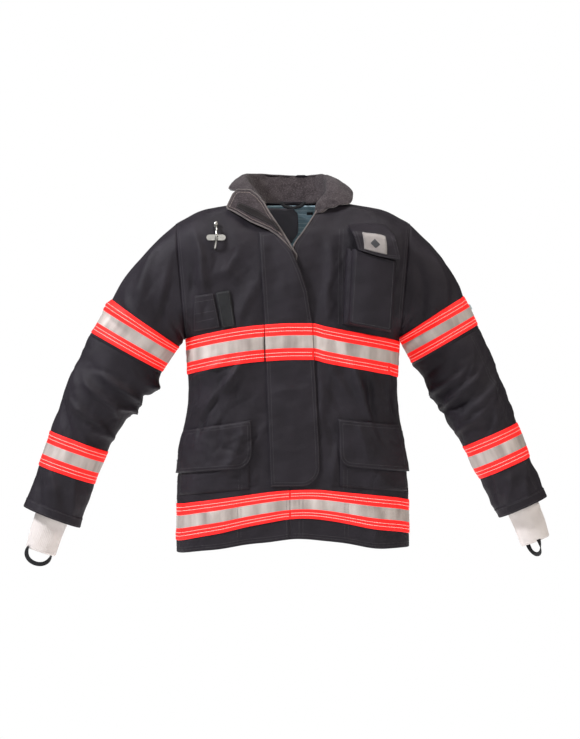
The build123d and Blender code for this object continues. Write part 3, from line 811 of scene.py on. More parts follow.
def innerRange(z):
    # inside the body all round, from one front edge to the other
    inset = linings["edgeInset"]
    return alongFromX(leftEdgeX(z) + inset,
                      z), 2 * halfGirth(z) - np.abs(alongFromX(rightEdgeX(z) - inset, z))


def leftFacingRange(z):
    return alongFromX(leftEdgeX(z), z), alongFromX(leftEdgeX(z) + linings["facingWidth"], z)


def rightFacingRange(z):
    return alongFromX(rightEdgeX(z) - linings["facingWidth"], z), alongFromX(rightEdgeX(z), z)


def layLining(name, sizes, reach, material, node):
    depth, lowest, thickness, top, step = linings[sizes]
    piece = bodySheet(name, lowest, reach, depth, material, thickness, top=top, step=step, plain=True)
    return fit(piece, "coat", node)


layLining("moistureBarrier", "moistureBarrier", innerRange, shellMaterial, "moisture_barrier")
quilted = layLining("thermalLiner", "thermalLiner", innerRange, cloth["quilt"], "thermal_liner")
layLining("leftFacing", "facings", leftFacingRange, cloth["shellLining"], "left_front_facing")
layLining("rightFacing", "facings", rightFacingRange, cloth["shellLining"], "right_front_facing")
print("body panels and liners made")

# the sleeves

sleeveForm = {
    "right": [(311, -254, 172, 150, 35), (351, -315, 168, 138, 29), (372, -360, 174, 132, 25),
              (410, -415, 150, 126, 21), (452, -503, 127, 112, 20), (478, -574, 122, 108, 19),
              (510, -664, 127, 108, 21)],
    "left": [(292, -241, 160, 146, 33), (322, -297, 158, 134, 30), (346, -341, 153, 128, 27),
             (365, -385, 149, 122, 25), (417, -489, 124, 108, 24), (448, -560, 117, 104, 24),
             (487, -643, 110, 100, 24)],
    "capBulge": 11.0, "foldGain": 2.1, "linerDepth": -5, "linerThickness": 1.0, "bandLift": 2.0,
    "cuffHeight": 21, "cuffThickness": 2.4,
}
sideSign = {"right": -1.0, "left": 1.0}
sleeveFolds = {
    "right": [
        (40, 128, 12, 60, 8, 5.0), (75, 150, 22, 60, 8, -4.0), (110, 120, 25, 60, 9, 4.5),
        (150, 160, 30, 55, 9, -3.5), (60, 60, 65, 55, 13, 4.0), (120, 60, 75, 50, 12, -3.0),
        (90, 30, 60, 50, 12, 3.0), (150, 265, 20, 60, 9, 5.5), (120, 300, 32, 65, 9, 5.0),
        (215, 226, 0, 60, 10, 2.5), (212, 262, 8, 45, 9, -3.0), (60, 300, 60, 60, 12, 3.5),
        (110, 345, 26, 60, 9, 4.5), (160, 370, 12, 50, 8, 4.0), (70, 370, 55, 60, 12, -3.0),
        (120, 400, 50, 60, 12, 3.0), (90, 505, 60, 45, 12, 3.0), (150, 520, 80, 45, 11, 2.5),
        (60, 530, 70, 45, 12, -2.5), (180, 300, 8, 50, 9, 5.0),
    ],
    "left": [
        (150, 118, 18, 60, 8, 5.0), (110, 105, 30, 65, 9, -4.0), (160, 150, 14, 55, 8, 4.0),
        (60, 70, 72, 55, 13, 3.8), (100, 50, 62, 50, 12, -3.0), (40, 90, 80, 50, 14, 3.0),
        (160, 235, 14, 55, 8, 5.5), (130, 262, 26, 60, 9, 5.0), (165, 285, 12, 50, 8, -4.5),
        (110, 300, 30, 65, 10, 4.5), (60, 290, 70, 60, 12, 3.2), (150, 330, 20, 55, 9, 4.5),
        (90, 350, 50, 60, 12, 3.5), (140, 378, 40, 55, 11, -3.0), (70, 480, 70, 45, 12, 3.0),
        (130, 495, 62, 45, 11, 2.6), (165, 470, 80, 45, 11, -2.5),
    ],
}

sleeveFolds["right"] += scatterCreases(97, 34, (10, 210), (190, 400), (35, 28), 1.2)
sleeveFolds["right"] += scatterCreases(98, 12, (10, 200), (20, 110), (70, 25), 0.8)
sleeveFolds["left"] += scatterCreases(99, 34, (10, 210), (170, 370), (35, 28), 1.2)
sleeveFolds["left"] += scatterCreases(100, 12, (10, 200), (20, 110), (70, 25), 0.8)


def sleeveRings(side, phi):
    # the armhole's curve and then each station's oval, at the given turns round the sleeve
    sign = sideSign[side]
    top, foot = bodyForm["armholeTop"], bodyForm["armholeFoot"]
    turn = np.cos(phi)
    z = (top[1] + foot[1]) / 2 + (top[1] - foot[1]) / 2 * turn
    x = armholeX(z)
    w, d = bodyWidth(z), bodyDepth(z)
    y = d * np.sqrt(np.clip(1 - (np.clip(x - (w - d), 0, d) / d) ** 2, 0, 1))
    rings = [np.stack([sign * x, middleY - np.sign(np.sin(phi)) * y, z], -1)]
    for cx, cz, width, depth, lean in sleeveForm[side]:
        c, s = math.cos(math.radians(lean)), math.sin(math.radians(lean))
        out, front = np.cos(phi) * width / 2, np.sin(phi) * depth / 2
        rings.append(np.stack([sign * (cx + out * c), middleY - front, cz + out * s], -1))
    return np.array(rings)


sleeveKnots = {}
for side in ("right", "left"):
    middles = [(236, -166)] + [station[:2] for station in sleeveForm[side]]
    gaps = [math.dist(a, b) for a, b in zip(middles, middles[1:])]
    sleeveKnots[side] = np.concatenate([[0], np.cumsum(gaps)])


def sleeveBase(side, k, phi):
    knots = sleeveKnots[side]
    k, phi = np.broadcast_arrays(np.asarray(k, float), np.asarray(phi, float))
    rings = sleeveRings(side, phi)
    steps = np.diff(knots)
    rise = np.diff(rings, axis=0) / steps.reshape([-1] + [1] * (rings.ndim - 1))
    slope = np.empty_like(rings)
    slope[0], slope[-1] = rise[0], rise[-1]
    for i in range(1, len(knots) - 1):
        slope[i] = (rise[i - 1] * steps[i] + rise[i] * steps[i - 1]) / (steps[i] + steps[i - 1])
    i = np.clip(k.astype(int), 0, len(steps) - 1)
    t = (k - i)[..., None]
    h = steps[i][..., None]
    pick = lambda array, index: np.take_along_axis(array, index[None, ..., None], 0)[0]
    return (
        (1 + 2 * t) * (1 - t) ** 2 * pick(rings, i)
        + t * (1 - t) ** 2 * h * pick(slope, i)
        + t * t * (3 - 2 * t) * pick(rings, i + 1)
        + t * t * (t - 1) * h * pick(slope, i + 1)
    )


def sleevePoint(side, k, phi, lift=0.0):
    # k counts the stations from the armhole; phi is 0 on the outer side and a quarter turn at the front
    k, phi = np.broadcast_arrays(np.asarray(k, float), np.asarray(phi, float))
    base = sleeveBase(side, k, phi)
    # near the armpit the stations almost meet, so the direction is taken further along
    ahead = 0.02 + 0.98 * easeStep((1.3 - k) / 0.5)
    dk = sleeveBase(side, np.clip(k + ahead, 0, 7), phi) - sleeveBase(side, np.clip(k - 0.02, 0, 7), phi)
    dp = sleeveBase(side, k, phi + 0.01) - sleeveBase(side, k, phi - 0.01)
    normal = np.cross(dk, dp) * -sideSign[side]
    normal /= np.linalg.norm(normal, axis=-1, keepdims=True) + 1e-9
    knots = sleeveKnots[side]
    along = np.interp(k, np.arange(len(knots)), knots)
    around = (phi % math.tau) * 70
    aback = math.tau * 70 - around
    seed = 11 if side == "right" else 12
    waves = foldHeight(around, along, sleeveFolds[side])
    waves = waves + foldHeight(aback, along * 1.03 - 12, sleeveFolds[side])
    waves = sleeveForm["foldGain"] * waves + 1.8 * softNoise(70 * np.cos(phi), along, 60, seed)
    waves = waves + 0.4 * softNoise(70 * np.sin(phi), along, 22, seed)
    quiet = easeStep(along / 40) * easeStep((knots[-1] - along) / 30 + 0.2)
    onBand = np.maximum(easeStep(1 - np.abs(k - 1.5) / 0.8), easeStep(1 - np.abs(k - 5.5) / 0.8))
    cap = sleeveForm["capBulge"] * np.sin(np.pi * np.clip(k, 0, 1)) * (0.5 + 0.5 * np.cos(phi))
    return base + normal * (waves * quiet * (1 - 0.65 * onBand) + cap + lift)[..., None]


def sleeveSheet(name, side, k0, k1, lift, materials, thickness, step=4.5, closedCols=104, rowMaterial=None):
    knots = sleeveKnots[side]
    length = np.interp(k1, np.arange(8), knots) - np.interp(k0, np.arange(8), knots)
    rows = max(3, int(length / step) + 1)
    along = np.linspace(np.interp(k0, np.arange(8), knots), np.interp(k1, np.arange(8), knots), rows)
    k = np.interp(along, knots, np.arange(8))[:, None]
    phi = np.linspace(0, math.tau, closedCols, endpoint=False)[None, :]
    heights = lift(k, k0, k1) if callable(lift) else lift
    points = sleevePoint(side, k, phi, heights)
    uv = np.stack(np.broadcast_arrays(phi * 70, along[:, None]), -1)
    faceMaterials = None
    if rowMaterial is not None:
        middle = (k[:-1, 0] + k[1:, 0]) / 2
        faceMaterials = np.repeat([rowMaterial((m - k0) / (k1 - k0)) for m in middle], closedCols)
    flip = side == "right"
    return gridSheet(name, points, uv, materials, thickness, closed=True, flip=flip,
                     faceMaterials=faceMaterials)


def stripOf(share):
    # the band's middle third is silver
    return 1 if 0.325 < share < 0.675 else 0


def stripRelief(share):
    # the silver strip stands proud and the band's edges roll down
    edge = np.minimum(share, 1 - share)
    return 0.35 * easeStep((0.18 - np.abs(share - 0.5)) / 0.03) - 0.9 * easeStep(1 - edge / 0.02)


def bandLift(k, k0, k1):
    return sleeveForm["bandLift"] + stripRelief((k - k0) / (k1 - k0))


def cuffLift(k, k0, k1):
    return 1.0 - 0.7 * easeStep(1 - np.minimum(k - k0, k1 - k) / 0.02)


def forearmLift(k, k0, k1):
    # tucked under the upper sleeve where they meet
    return -1.7 * easeStep((2.14 - k) / 0.08)


def pointAt(side, k):
    p = sleevePoint(side, np.array([k, k, k, k]), np.array([0, 0.5, 1, 1.5]) * math.pi).mean(0) * mm
    return tuple(p)


trimMaterials = [cloth["fluorescent"], cloth["reflective"]]


def sleeveCloth(side, label, node, span, lift, bend):
    # one length of sleeve between two stations, standing in for its hidden CAD piece
    obj = sleeveSheet(side + label, side, *span, lift, [shellMaterial], bodyPanels["clothThickness"])
    return bendSleeve(obj, side, node, bend)


def sleeveLining(side, label, node, span, lift, bend):
    obj = sleeveSheet(side + label, side, *span, lift, [cloth["quilt"]], sleeveForm["linerThickness"],
                      step=8, closedCols=72)
    bendSleeve(obj, side, node, bend)


def bendSleeve(obj, side, node, bend):
    upperBody, lowerBody, start, end = bend
    pointAt(side, start)
    pointAt(side, end)
    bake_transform(obj)
    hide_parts(side + node)
    return obj


for side in ("right", "left"):
    upper, lower = side + "_upper_arm", side + "_lower_arm"
    shoulder, elbow = ("coat", upper, 0, 0.85), (upper, lower, 2.25, 3.7)
    inside = sleeveForm["linerDepth"]
    sleeveCloth(side, "UpperSleeve", "_upper_sleeve", (0, 2.12), 0, shoulder)
    sleeveLining(side, "UpperLiner", "_upper_sleeve_liner", (0.3, 2.1), inside - 0.5, shoulder)
    sleeveCloth(side, "Forearm", "_forearm", (2.0, 7), forearmLift, elbow)
    sleeveLining(side, "ForearmLiner", "_forearm_liner", (2.2, 6.9), inside, elbow)
    for label, k0, body, node in (
        ("UpperTrim", 1, upper, "_upper_sleeve_trim"),
        ("ForearmTrim", 5, lower, "_forearm_trim"),
    ):
        band = sleeveSheet(side + label, side, k0, k0 + 1, bandLift, trimMaterials, 1.1, step=1.9,
                           closedCols=132, rowMaterial=stripOf)
        fit(band, body, side + node)
    cuffFrom = 7 - sleeveForm["cuffHeight"] / (sleeveKnots[side][-1] - sleeveKnots[side][-2])
    cuff = sleeveSheet(side + "Cuff", side, cuffFrom, 7.0, cuffLift, [shellMaterial],
                       sleeveForm["cuffThickness"], step=1.7)
    fit(cuff, lower, side + "_cuff")
print("sleeves made")

# trim bands, flaps and pockets on the body

bandLines = {
    "chest": [(-240, -292), (-220, -286), (-59, -259), (0, -256), (41, -256), (66, -262), (193, -286),
              (240, -296)],
    "hem": [(-245, -634), (-112, -618), (-11, -605), (40, -603), (116, -610), (218, -621), (245, -628)],
    "chestBack": -293.0, "hemBack": -634.0, "width": 76.0, "lift": 1.9, "thickness": 1.1,
    "level": {"chest": -300.0, "hem": -640.0},  # where each band's run round the body is measured
}


def bandTop(kind, s, x):
    # the band's upper edge: as drawn at the front, level at the back
    spots = bandLines[kind]
    front = smoothCurve([p[0] for p in spots], [p[1] for p in spots])(x)
    level = bandLines[kind + "Back"]
    return front + (level - front) * easeStep((np.abs(s) - 290) / 60)


def bandOnBody(name, kind, s0, s1, node):
    rows = np.linspace(0, 1, 41)
    cols = np.linspace(s0, s1, int(abs(s1 - s0) / 5) + 2)
    share, around = np.meshgrid(rows, cols, indexing="ij")
    level = bandLines["level"][kind]
    s = wrapRound(around, halfGirth(level))
    x, _ = crossSection(s, bodyWidth(level), bodyDepth(level))
    z = bandTop(kind, s, x) - share * bandLines["width"]
    points = bodyPoint(s, towardsHem(z, s) if kind == "hem" else z, bandLines["lift"] + stripRelief(share))
    middle = (rows[:-1] + rows[1:]) / 2
    faceMaterials = np.repeat([stripOf(m) for m in middle], len(cols) - 1)
    uv = np.stack([around, z], -1)
    obj = gridSheet(name, points, uv, trimMaterials, bandLines["thickness"], flip=True,
                    faceMaterials=faceMaterials)
    fit(obj, "coat", node)


def seamX(z):
    # the storm flap's stitched side
    return np.interp(-np.asarray(z, float), [49, 66, 258, 595, 720], [-76, -71, -59, -47, -44])


def freeX(z):
    # the storm flap's open side
    return np.interp(-np.asarray(z, float), [148, 190, 224, 254, 290, 502, 620],
                     [17, 31, 36, 41, 43, 55, 60])


chestGirth, hemGirth = (float(halfGirth(bandLines["level"][kind])) for kind in ("chest", "hem"))
chestSide, hemSide = (float(sideSeam(bandLines["level"][kind])) for kind in ("chest", "hem"))
bandOnBody("chestTrimRight", "chest", -chestSide + 1, -59.4, "chest_trim_right")
bandOnBody("chestTrimLeft", "chest", 8, chestSide - 1, "chest_trim_left")
bandOnBody("chestTrimBack", "chest", chestSide, 2 * chestGirth - chestSide, "chest_trim_back")
bandOnBody("hemTrimRight", "hem", -hemSide + 1, -4.9, "hem_trim_right")
bandOnBody("hemTrimLeft", "hem", -4.9, hemSide - 1, "hem_trim_left")
bandOnBody("hemTrimBack", "hem", hemSide, 2 * hemGirth - hemSide, "hem_trim_back")


def wrinkled(height, size, seed):
    def relief(x, z, away):
        return height * softNoise(x, z, size, seed) * easeStep(away / 8)

    return relief


def addPatch(name, outline, place, thickness, material, body, node, slotName, **more):
    obj = cutPatch(name, outline, place, thickness, [material], **more)
    return fit(obj, body, node)


stormFlap = {
    "outline": [(-71, -66), (-36, -64), (-18, -86), (-1, -106), (17, -148), (31, -190), (36, -224),
                (41, -254), (43, -290), (55, -502), (58.5, -596, 40), (-47, -596, 4), (-59, -258)],
    "low": 2.0, "thickness": 2.6,
}
stormOutline = roundedOutline(stormFlap["outline"], 4.0)


def stormRelief(x, z, away):
    across = (x - seamX(z)) / 100
    puff = 1.6 * np.sin(np.clip(across, 0, 1) * math.pi) * easeStep(away / 14)
    waves = foldHeight(x, z, [(-5, -395, 20, 40, 9, 2.2), (5, -440, 160, 45, 10, 2.0),
                              (-10, -520, 15, 40, 12, 1.8), (-20, -160, 110, 50, 12, 1.8),
                              (10, -350, 150, 35, 9, 1.6)])
    stand = 5.5 * easeStep((z + 262) / 90) * easeStep((x - seamX(z) - 20) / 60)
    return (puff + stand + waves * easeStep(away / 10)) + 0.5 * softNoise(x, z, 50, 21) * easeStep(away / 6)


addPatch("stormFlap", stormOutline, frontPoint, stormFlap["thickness"], shellMaterial, "storm_flap",
         "storm_flap", "shell_cloth", low=stormFlap["low"], relief=stormRelief, spacing=4.2)


def bandOnFlap(name):
    # the chest band's own length across the storm flap
    rows, cols = np.linspace(0, 1, 41), np.linspace(0, 1, 26)
    share, u = np.meshgrid(rows, cols, indexing="ij")
    z = bandTop("chest", 0 * u, -59 + 100 * u) - share * bandLines["width"]
    x = seamX(z) + 0.3 + (freeX(z) - seamX(z) - 1.3) * u
    away = np.minimum(x - seamX(z), freeX(z) - x)
    over = stormFlap["low"] + stormFlap["thickness"] + stormRelief(x, z, away) + 1.3
    over = over - 0.9 * easeStep(1 - away / 4)
    points = frontPoint(x, z, over + stripRelief(share))
    middle = (rows[:-1] + rows[1:]) / 2
    obj = gridSheet(name, points, np.stack([x, z], -1), trimMaterials, 1.1, flip=True,
                    faceMaterials=np.repeat([stripOf(m) for m in middle], len(cols) - 1))
    fit(obj, "storm_flap", "storm_flap_trim")


bandOnFlap("stormFlapTrim")
hookTape = roundedOutline([(20, -300), (44, -300), (50, -560), (26, -560)], 6)
addPatch("hookTape", hookTape, frontPoint, 0.7, cloth["gripHooks"], "storm_flap", "hook_tape",
         "grip_tape", low=1.2, spacing=8)
loopTape = roundedOutline([(14, -200), (32, -200), (44, -560), (22, -560)], 6)
addPatch("loopTape", loopTape, frontPoint, 0.6, cloth["gripHooks"], "coat", "loop_tape", "grip_tape",
         low=0.3, spacing=8)

cargo = {
    "right": {"pocket": [(-236, -486), (-90, -470), (-90, -600), (-239, -616)],
              "flap": [(-226, -480), (-86, -457), (-84, -520), (-88, -558, 34), (-140, -561),
                       (-243, -571), (-236, -520)],
              "seed": 31},
    "left": {"pocket": [(98, -468), (232, -482), (240, -608), (98, -596)],
             "flap": [(94, -455), (222, -469), (232, -520), (240, -567), (150, -558), (98, -553, 26)],
             "seed": 32},
}
for side in ("right", "left"):
    values = cargo[side]
    addPatch(side + "CargoPocket", roundedOutline(values["pocket"]), frontPoint, 2.4, shellMaterial, "coat",
             side + "_cargo_pocket", "shell_cloth", low=0.5, spacing=4.5,
             relief=wrinkled(0.5, 60, values["seed"]))

    def flapRelief(x, z, away, seed=values["seed"]):
        drop = np.clip((-465 - z) / 90, 0, 1)
        uneven = 1.3 * softNoise(x, z, 55, seed) + 0.4 * softNoise(x, z, 20, seed + 5)
        return 1.6 * drop + uneven * easeStep(away / 8)

    values["relief"] = flapRelief
    addPatch(side + "CargoFlap", roundedOutline(values["flap"]), frontPoint, 2.6, shellMaterial,
             side + "_cargo_flap", side + "_cargo_flap", "shell_cloth", low=3.6, relief=flapRelief,
             spacing=4.2)

# the radio pocket

radio = {
    "face": [(128, -103), (213, -126), (204, -272, 6), (119, -256, 6)],
    "base": [(111, -100), (213, -126), (205, -274), (104, -258)],
    "faceY": -174.5,
    "flapLeft": [(0, 114, -51), (0.25, 122, -66), (0.6, 130, -88), (1, 135, -104)],
    "flapRight": [(0, 194, -50), (0.25, 213, -77), (0.6, 219, -100), (1, 225, -125)],
}


def radioFace(x, z, lift):
    x, z, lift = np.broadcast_arrays(x, z, lift)
    across, down = np.clip((x - 115) / 95, 0, 1), np.clip((-100 - z) / 172, 0, 1)
    belly = 2.5 * np.sin(across * math.pi) * np.sin(down * math.pi)
    y = radio["faceY"] - lift - belly + 7 * easeStep((x - 160) / 60) + 0.7 * softNoise(x, z, 40, 41)
    return np.stack([x, y, z], -1)


faceOutline = roundedOutline(radio["face"])
addPatch("radioPocket", faceOutline, radioFace, 3.0, shellMaterial, "coat", "radio_pocket", "shell_cloth",
         low=-2.4, edgeRound=4, spacing=4)
baseOutline = roundedOutline(radio["base"], 3.0)
count = 140


def resampled(outline, total):
    closed = np.vstack([outline, outline[:1]])
    run = np.concatenate([[0], np.cumsum(np.linalg.norm(np.diff(closed, axis=0), axis=1))])
    at = np.linspace(0, run[-1], total, endpoint=False)
    return np.stack([np.interp(at, run, closed[:, 0]), np.interp(at, run, closed[:, 1])], -1)


front, base = resampled(faceOutline, count), resampled(baseOutline, count)
baseSpots = frontPoint(base[:, 0], base[:, 1], np.full(count, 0.2))
frontSpots = radioFace(front[:, 0], front[:, 1], np.full(count, -1.5))
walls = []
for share in np.linspace(0, 1, 13):
    ring = baseSpots * (1 - share) + frontSpots * share
    middle = ring.mean(0)
    outward = ring - middle
    outward[:, 1] = 0
    outward /= np.linalg.norm(outward, axis=1, keepdims=True)
    pleat = 1.5 * math.sin(share * math.pi) - 7.0 * math.exp(-(((share - 0.5) / 0.16) ** 2))
    walls.append(ring + outward * pleat)
walls = np.array(walls)
gusset = gridSheet("radioGusset", walls,
                   np.stack(np.meshgrid(np.arange(count) * 3.6, np.arange(13) * 3.0),
                            -1), [shellMaterial], 1.2, closed=True, flip=True)
fit(gusset, "coat", None)


def radioFlapPoint(u, v, lift=0.0):
    # u runs across the flap, v down it, over the fold at a quarter
    u, v, lift = np.broadcast_arrays(np.asarray(u, float), np.asarray(v, float), np.asarray(lift, float))

    def spot(u, v):
        edges = [
            smoothCurve([spot[0] for spot in radio[edge]], [spot[i] for spot in radio[edge]])
            for edge in ("flapLeft", "flapRight")
            for i in (1, 2)
        ]
        lx, lz, rx, rz = (e(v) for e in edges)
        bow = 3.0 * np.sin(u * math.pi)
        x = lx + (rx - lx) * u
        z = lz + (rz - lz) * u + bow * (1 - v) - 4 * np.sin(u * math.pi) * v
        depth = smoothCurve([0, 0.12, 0.25, 0.4, 1], [0, 22, 42, 49, 50])(v)
        y = -128.5 - depth - 2.4 * np.sin(u * math.pi) * easeStep(v * 3) + 6 * easeStep((u - 0.6) / 0.5)
        return np.stack([x, y, z], -1)

    p = spot(u, v)
    across = spot(u + 0.01, v) - spot(u - 0.01, v)
    up = spot(u, np.clip(v - 0.01, 0, 1)) - spot(u, np.clip(v + 0.01, 0, 1))
    normal = np.cross(across, up)
    normal /= np.linalg.norm(normal, axis=-1, keepdims=True) + 1e-9
    edge = np.minimum(np.minimum(u, 1 - u) * 88, (1 - v) * 75)
    wave = 0.9 * softNoise(u * 90, v * 75, 40, 43) + 0.3 * softNoise(u * 90, v * 75, 16, 44)
    wave = wave * easeStep(v * 4)
    return p + normal * (lift + wave - 1.0 * easeStep(1 - edge / 3))[..., None]


v, u = np.meshgrid(np.linspace(0, 1, 34), np.linspace(0, 1, 34), indexing="ij")
radioFlap = gridSheet("radioFlap", radioFlapPoint(u, v), np.stack([u * 90, v * -80], -1), [shellMaterial],
                      2.4, flip=True)
fit(radioFlap, "radio_flap", "radio_flap")


def badgePlace(x, z, lift):
    # the badge's own square, a little turned, on the flap's front
    turn = math.radians(-9)
    u = 0.46 + (x * math.cos(turn) - z * math.sin(turn)) / 90
    v = 0.56 - (x * math.sin(turn) * 0.2 + z * math.cos(turn)) / 72
    return radioFlapPoint(u, v, lift)


badgeSquare = roundedOutline([(-24, 22, 2), (24, 22, 2), (24, -22, 2), (-24, -22, 2)], 2)
addPatch("radioBadge", badgeSquare, badgePlace, 1.3, cloth["embroidery"], "radio_flap", "radio_patch",
         "patch_cloth", low=0.2, spacing=2.4)
diamond = roundedOutline([(-11, 0, 1), (0, 12, 1), (11, 0, 1), (0, -12, 1)], 1.6)
addPatch("badgeMark", diamond, badgePlace, 0.8, cloth["markInk"], "radio_flap", None, "patch_cloth",
         low=1.1, spacing=1.8)

# lamp patch and strap, drag strap and flap, metal finishes for the hook and zip

lamp = {
    "patch": [(-206, -199, 3), (-165, -193, 3), (-150, -265, 3), (-207, -272, 3)],
    "strap": [(-161, -192, 4), (-131, -187, 4), (-120, -262, 5), (-147, -266, 5)],
}
addPatch("lampPatch", roundedOutline(lamp["patch"]), frontPoint, 1.8, shellMaterial, "coat",
         "flashlight_patch", "shell_cloth", low=0.6)
lampRelief = lambda x, z, away: 1.2 * easeStep(away / 6) + 1.6 * np.exp(-(((z + 214) / 9) ** 2))
addPatch("lampStrap", roundedOutline(lamp["strap"]), frontPoint, 2.2, cloth["blackTape"],
         "flashlight_strap", "flashlight_strap", "black_tape", low=1.9, relief=lampRelief)


def behind(x, z, lift):
    x, z = np.asarray(x, float), np.asarray(z, float)
    s = np.where(x < 0, -1.0, 1.0) * (halfGirth(z) - np.abs(x))
    return bodyPoint(s, z, lift)


addPatch("dragStrap", roundedOutline([(-16, -98, 3), (16, -98, 3), (16, -182, 6), (-16, -182, 6)][::-1]),
         behind, 2.4, cloth["blackTape"], "coat", "drag_strap", "black_tape", low=0.6)
dragFlapCut = [(-55, -102, 4), (55, -102, 4), (55, -172, 8), (-55, -172, 8)]
addPatch("dragFlap", roundedOutline(dragFlapCut[::-1]), behind, 2.2,
         shellMaterial, "drag_flap", "drag_flap", "shell_cloth", low=3.6, relief=wrinkled(0.6, 40, 51))
for finish, shown in (("nickel", ("hook_plate", "hook_rivets")),
                      ("brass", ("zip_slider", "zip_pull", "zip_box"))):
    for node in shown:
        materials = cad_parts[node].data.materials
        materials.clear()
        materials.append(cloth[finish])
print("trims, flaps and pockets made")

# the collar

collar = {
    # stations round the neck from the right front to the left front: seam, crest and tip, each (x, y, z)
    "stations": [
        ((-55, -98, -2), (-57, -104, 2), (-59, -108, 1)),
        ((-66, -84, 2), (-70, -94, 16), (-74, -104, 14)),
        ((-74, -68, 4), (-87, -76, 38), (-104, -92, 24)),
        ((-79, -45, 5), (-97, -45, 58), (-136, -66, 30)),
        ((-74, -18, 5), (-93, -12, 66), (-128, -22, 46)),
        ((-52, 2, 4), (-64, 16, 66), (-84, 24, 58)),
        ((-25, 8, 2), (-30, 25, 65), (-36, 33, 60)),
        ((0, 10, 1), (-4, 28, 64), (-4, 36, 58)),
        ((25, 8, 2), (26, 25, 64), (34, 33, 58)),
        ((52, 1, 4), (52, 16, 65), (76, 22, 56)),
        ((74, -20, 5), (66, -10, 64), (108, -22, 44)),
        ((78, -46, 4), (68, -46, 54), (127, -68, 20)),
        ((70, -72, 2), (69, -80, 29), (124, -98, 1)),
        ((60, -86, -4), (55, -95, 9), (96, -112, -9)),
        ((52, -94, -12), (48, -103, -6), (72, -114, -16)),
        ((46, -100, -25), (45, -107, -24), (50, -112, -26)),
    ],
    "thickness": 4.6,
    "lapel": [(-139, -14, 5), (-126, 15, 8), (-116, 25, 6), (-90, 24), (-75, 14), (-61, -3), (-50, -23),
              (-37, -42), (-18, -71), (-5, -93), (8, -114), (6, -126), (-5, -101), (-18, -85), (-33, -71),
              (-50, -60), (-88, -43), (-122, -22, 8)],
    "strip": [(-113, -2), (-119, -13), (-86, -31), (-44, -51), (-24, -69), (-39, -43), (-75, -18)],
    "lapelHeights": [-130, -100, -60, -20, 20],
    "lapelY": [-141, -141, -134, -120, -106],
}
stationCount = len(collar["stations"])
collarCurves = [
    [smoothCurve(range(stationCount),
                 [station[part][axis] for station in collar["stations"]]) for axis in range(3)]
    for part in range(3)
]


def collarPoint(u, v, lift=0.0):
    # u counts the stations; v is 0 at the neck seam, 1 at the crest and 2 at the tip
    u, v = np.broadcast_arrays(np.asarray(u, float), np.asarray(v, float))

    def spot(u, v):
        seam, crest, tip = (np.stack([curve(u) for curve in part], -1) for part in collarCurves)
        fall = np.linalg.norm(tip - crest, axis=-1, keepdims=True)
        roll = np.clip(fall * 0.3, 1.5, 9)
        w = v[..., None]
        rise = seam + (crest - seam) * np.clip(w, 0, 1)
        drop = crest + (tip - crest) * np.clip(w - 1, 0, 1)
        join = 0.22
        lower = seam + (crest - seam) * (1 - join)
        upper = crest + (tip - crest) * join
        t = np.clip((w - 1 + join) / (2 * join), 0, 1)
        raised = crest + np.array([0, 0, 0.3]) * roll
        bend = lower * (1 - t) ** 2 + 2 * t * (1 - t) * raised + upper * t**2
        inside = (w > 1 - join) & (w < 1 + join)
        p = np.where(w <= 1, rise, drop)
        p = np.where(inside, bend, p)
        belly = np.sin(np.clip(w - 1, 0, 1) * math.pi) * fall * 0.1
        return p + np.array([0, -0.7, 0.7]) * belly

    p = spot(u, v)
    du, dv = 0.02, 0.02
    along = spot(np.clip(u + du, 0, stationCount - 1), v) - spot(np.clip(u - du, 0, stationCount - 1), v)
    up = spot(u, np.clip(v + dv, 0, 2)) - spot(u, np.clip(v - dv, 0, 2))
    normal = np.cross(up, along)
    normal /= np.linalg.norm(normal, axis=-1, keepdims=True) + 1e-9
    quiet = easeStep(v / 0.3) * easeStep((2 - v) / 0.1 + 0.3)
    wave = (1.1 * softNoise(u * 22, v * 40, 34, 61) + 0.5 * softNoise(u * 22, v * 40, 14, 62)) * quiet
    return p + normal * (wave + lift)[..., None]


def collarSheet(name, u0, u1, node):
    rows, cols = 46, int((u1 - u0) * 12) + 2
    v, u = np.meshgrid(np.linspace(0, 2, rows), np.linspace(u0, u1, cols), indexing="ij")
    points = collarPoint(u, v)
    obj = gridSheet(name, points, np.stack([u * 24, v * 55], -1),
                    [cloth["heather"], shellMaterial, cloth["binding"]], 0, flip=False)
    wall = obj.modifiers.new("wall", "SOLIDIFY")
    wall.thickness = collar["thickness"] * mm
    wall.offset = -1
    wall.material_offset = 1
    wall.material_offset_rim = 2
    edge = obj.modifiers.new("edge", "BEVEL")
    edge.width = 1.5 * mm
    edge.segments = 2
    edge.limit_method = "ANGLE"
    edge.angle_limit = math.radians(50)
    settle(obj)
    obj.data.polygons.foreach_set("use_smooth", [True] * len(obj.data.polygons))
    fit(obj, "coat", node)


collarSheet("rightCollar", 0, 4.5, "right_collar")
collarSheet("backCollar", 4.5, 10.5, "collar_back")
collarSheet("leftCollar", 10.5, 15, "left_collar")


def lapelPlace(x, z, lift):
    x, z, lift = np.broadcast_arrays(np.asarray(x, float), np.asarray(z, float), np.asarray(lift, float))
    y = smoothCurve(collar["lapelHeights"], collar["lapelY"])(z)
    y = y + 7 * np.clip((-50 - x) / 90, 0, 2) ** 2 - lift
    return np.stack([x, y, z], -1)


lapelOutline = roundedOutline(collar["lapel"], 2.6)


def lapelRelief(x, z, away):
    puff = 2.6 * easeStep(away / 12) + 1.0 * softNoise(x, z, 34, 71) * easeStep(away / 7)
    return puff + 0.4 * softNoise(x, z, 13, 72)


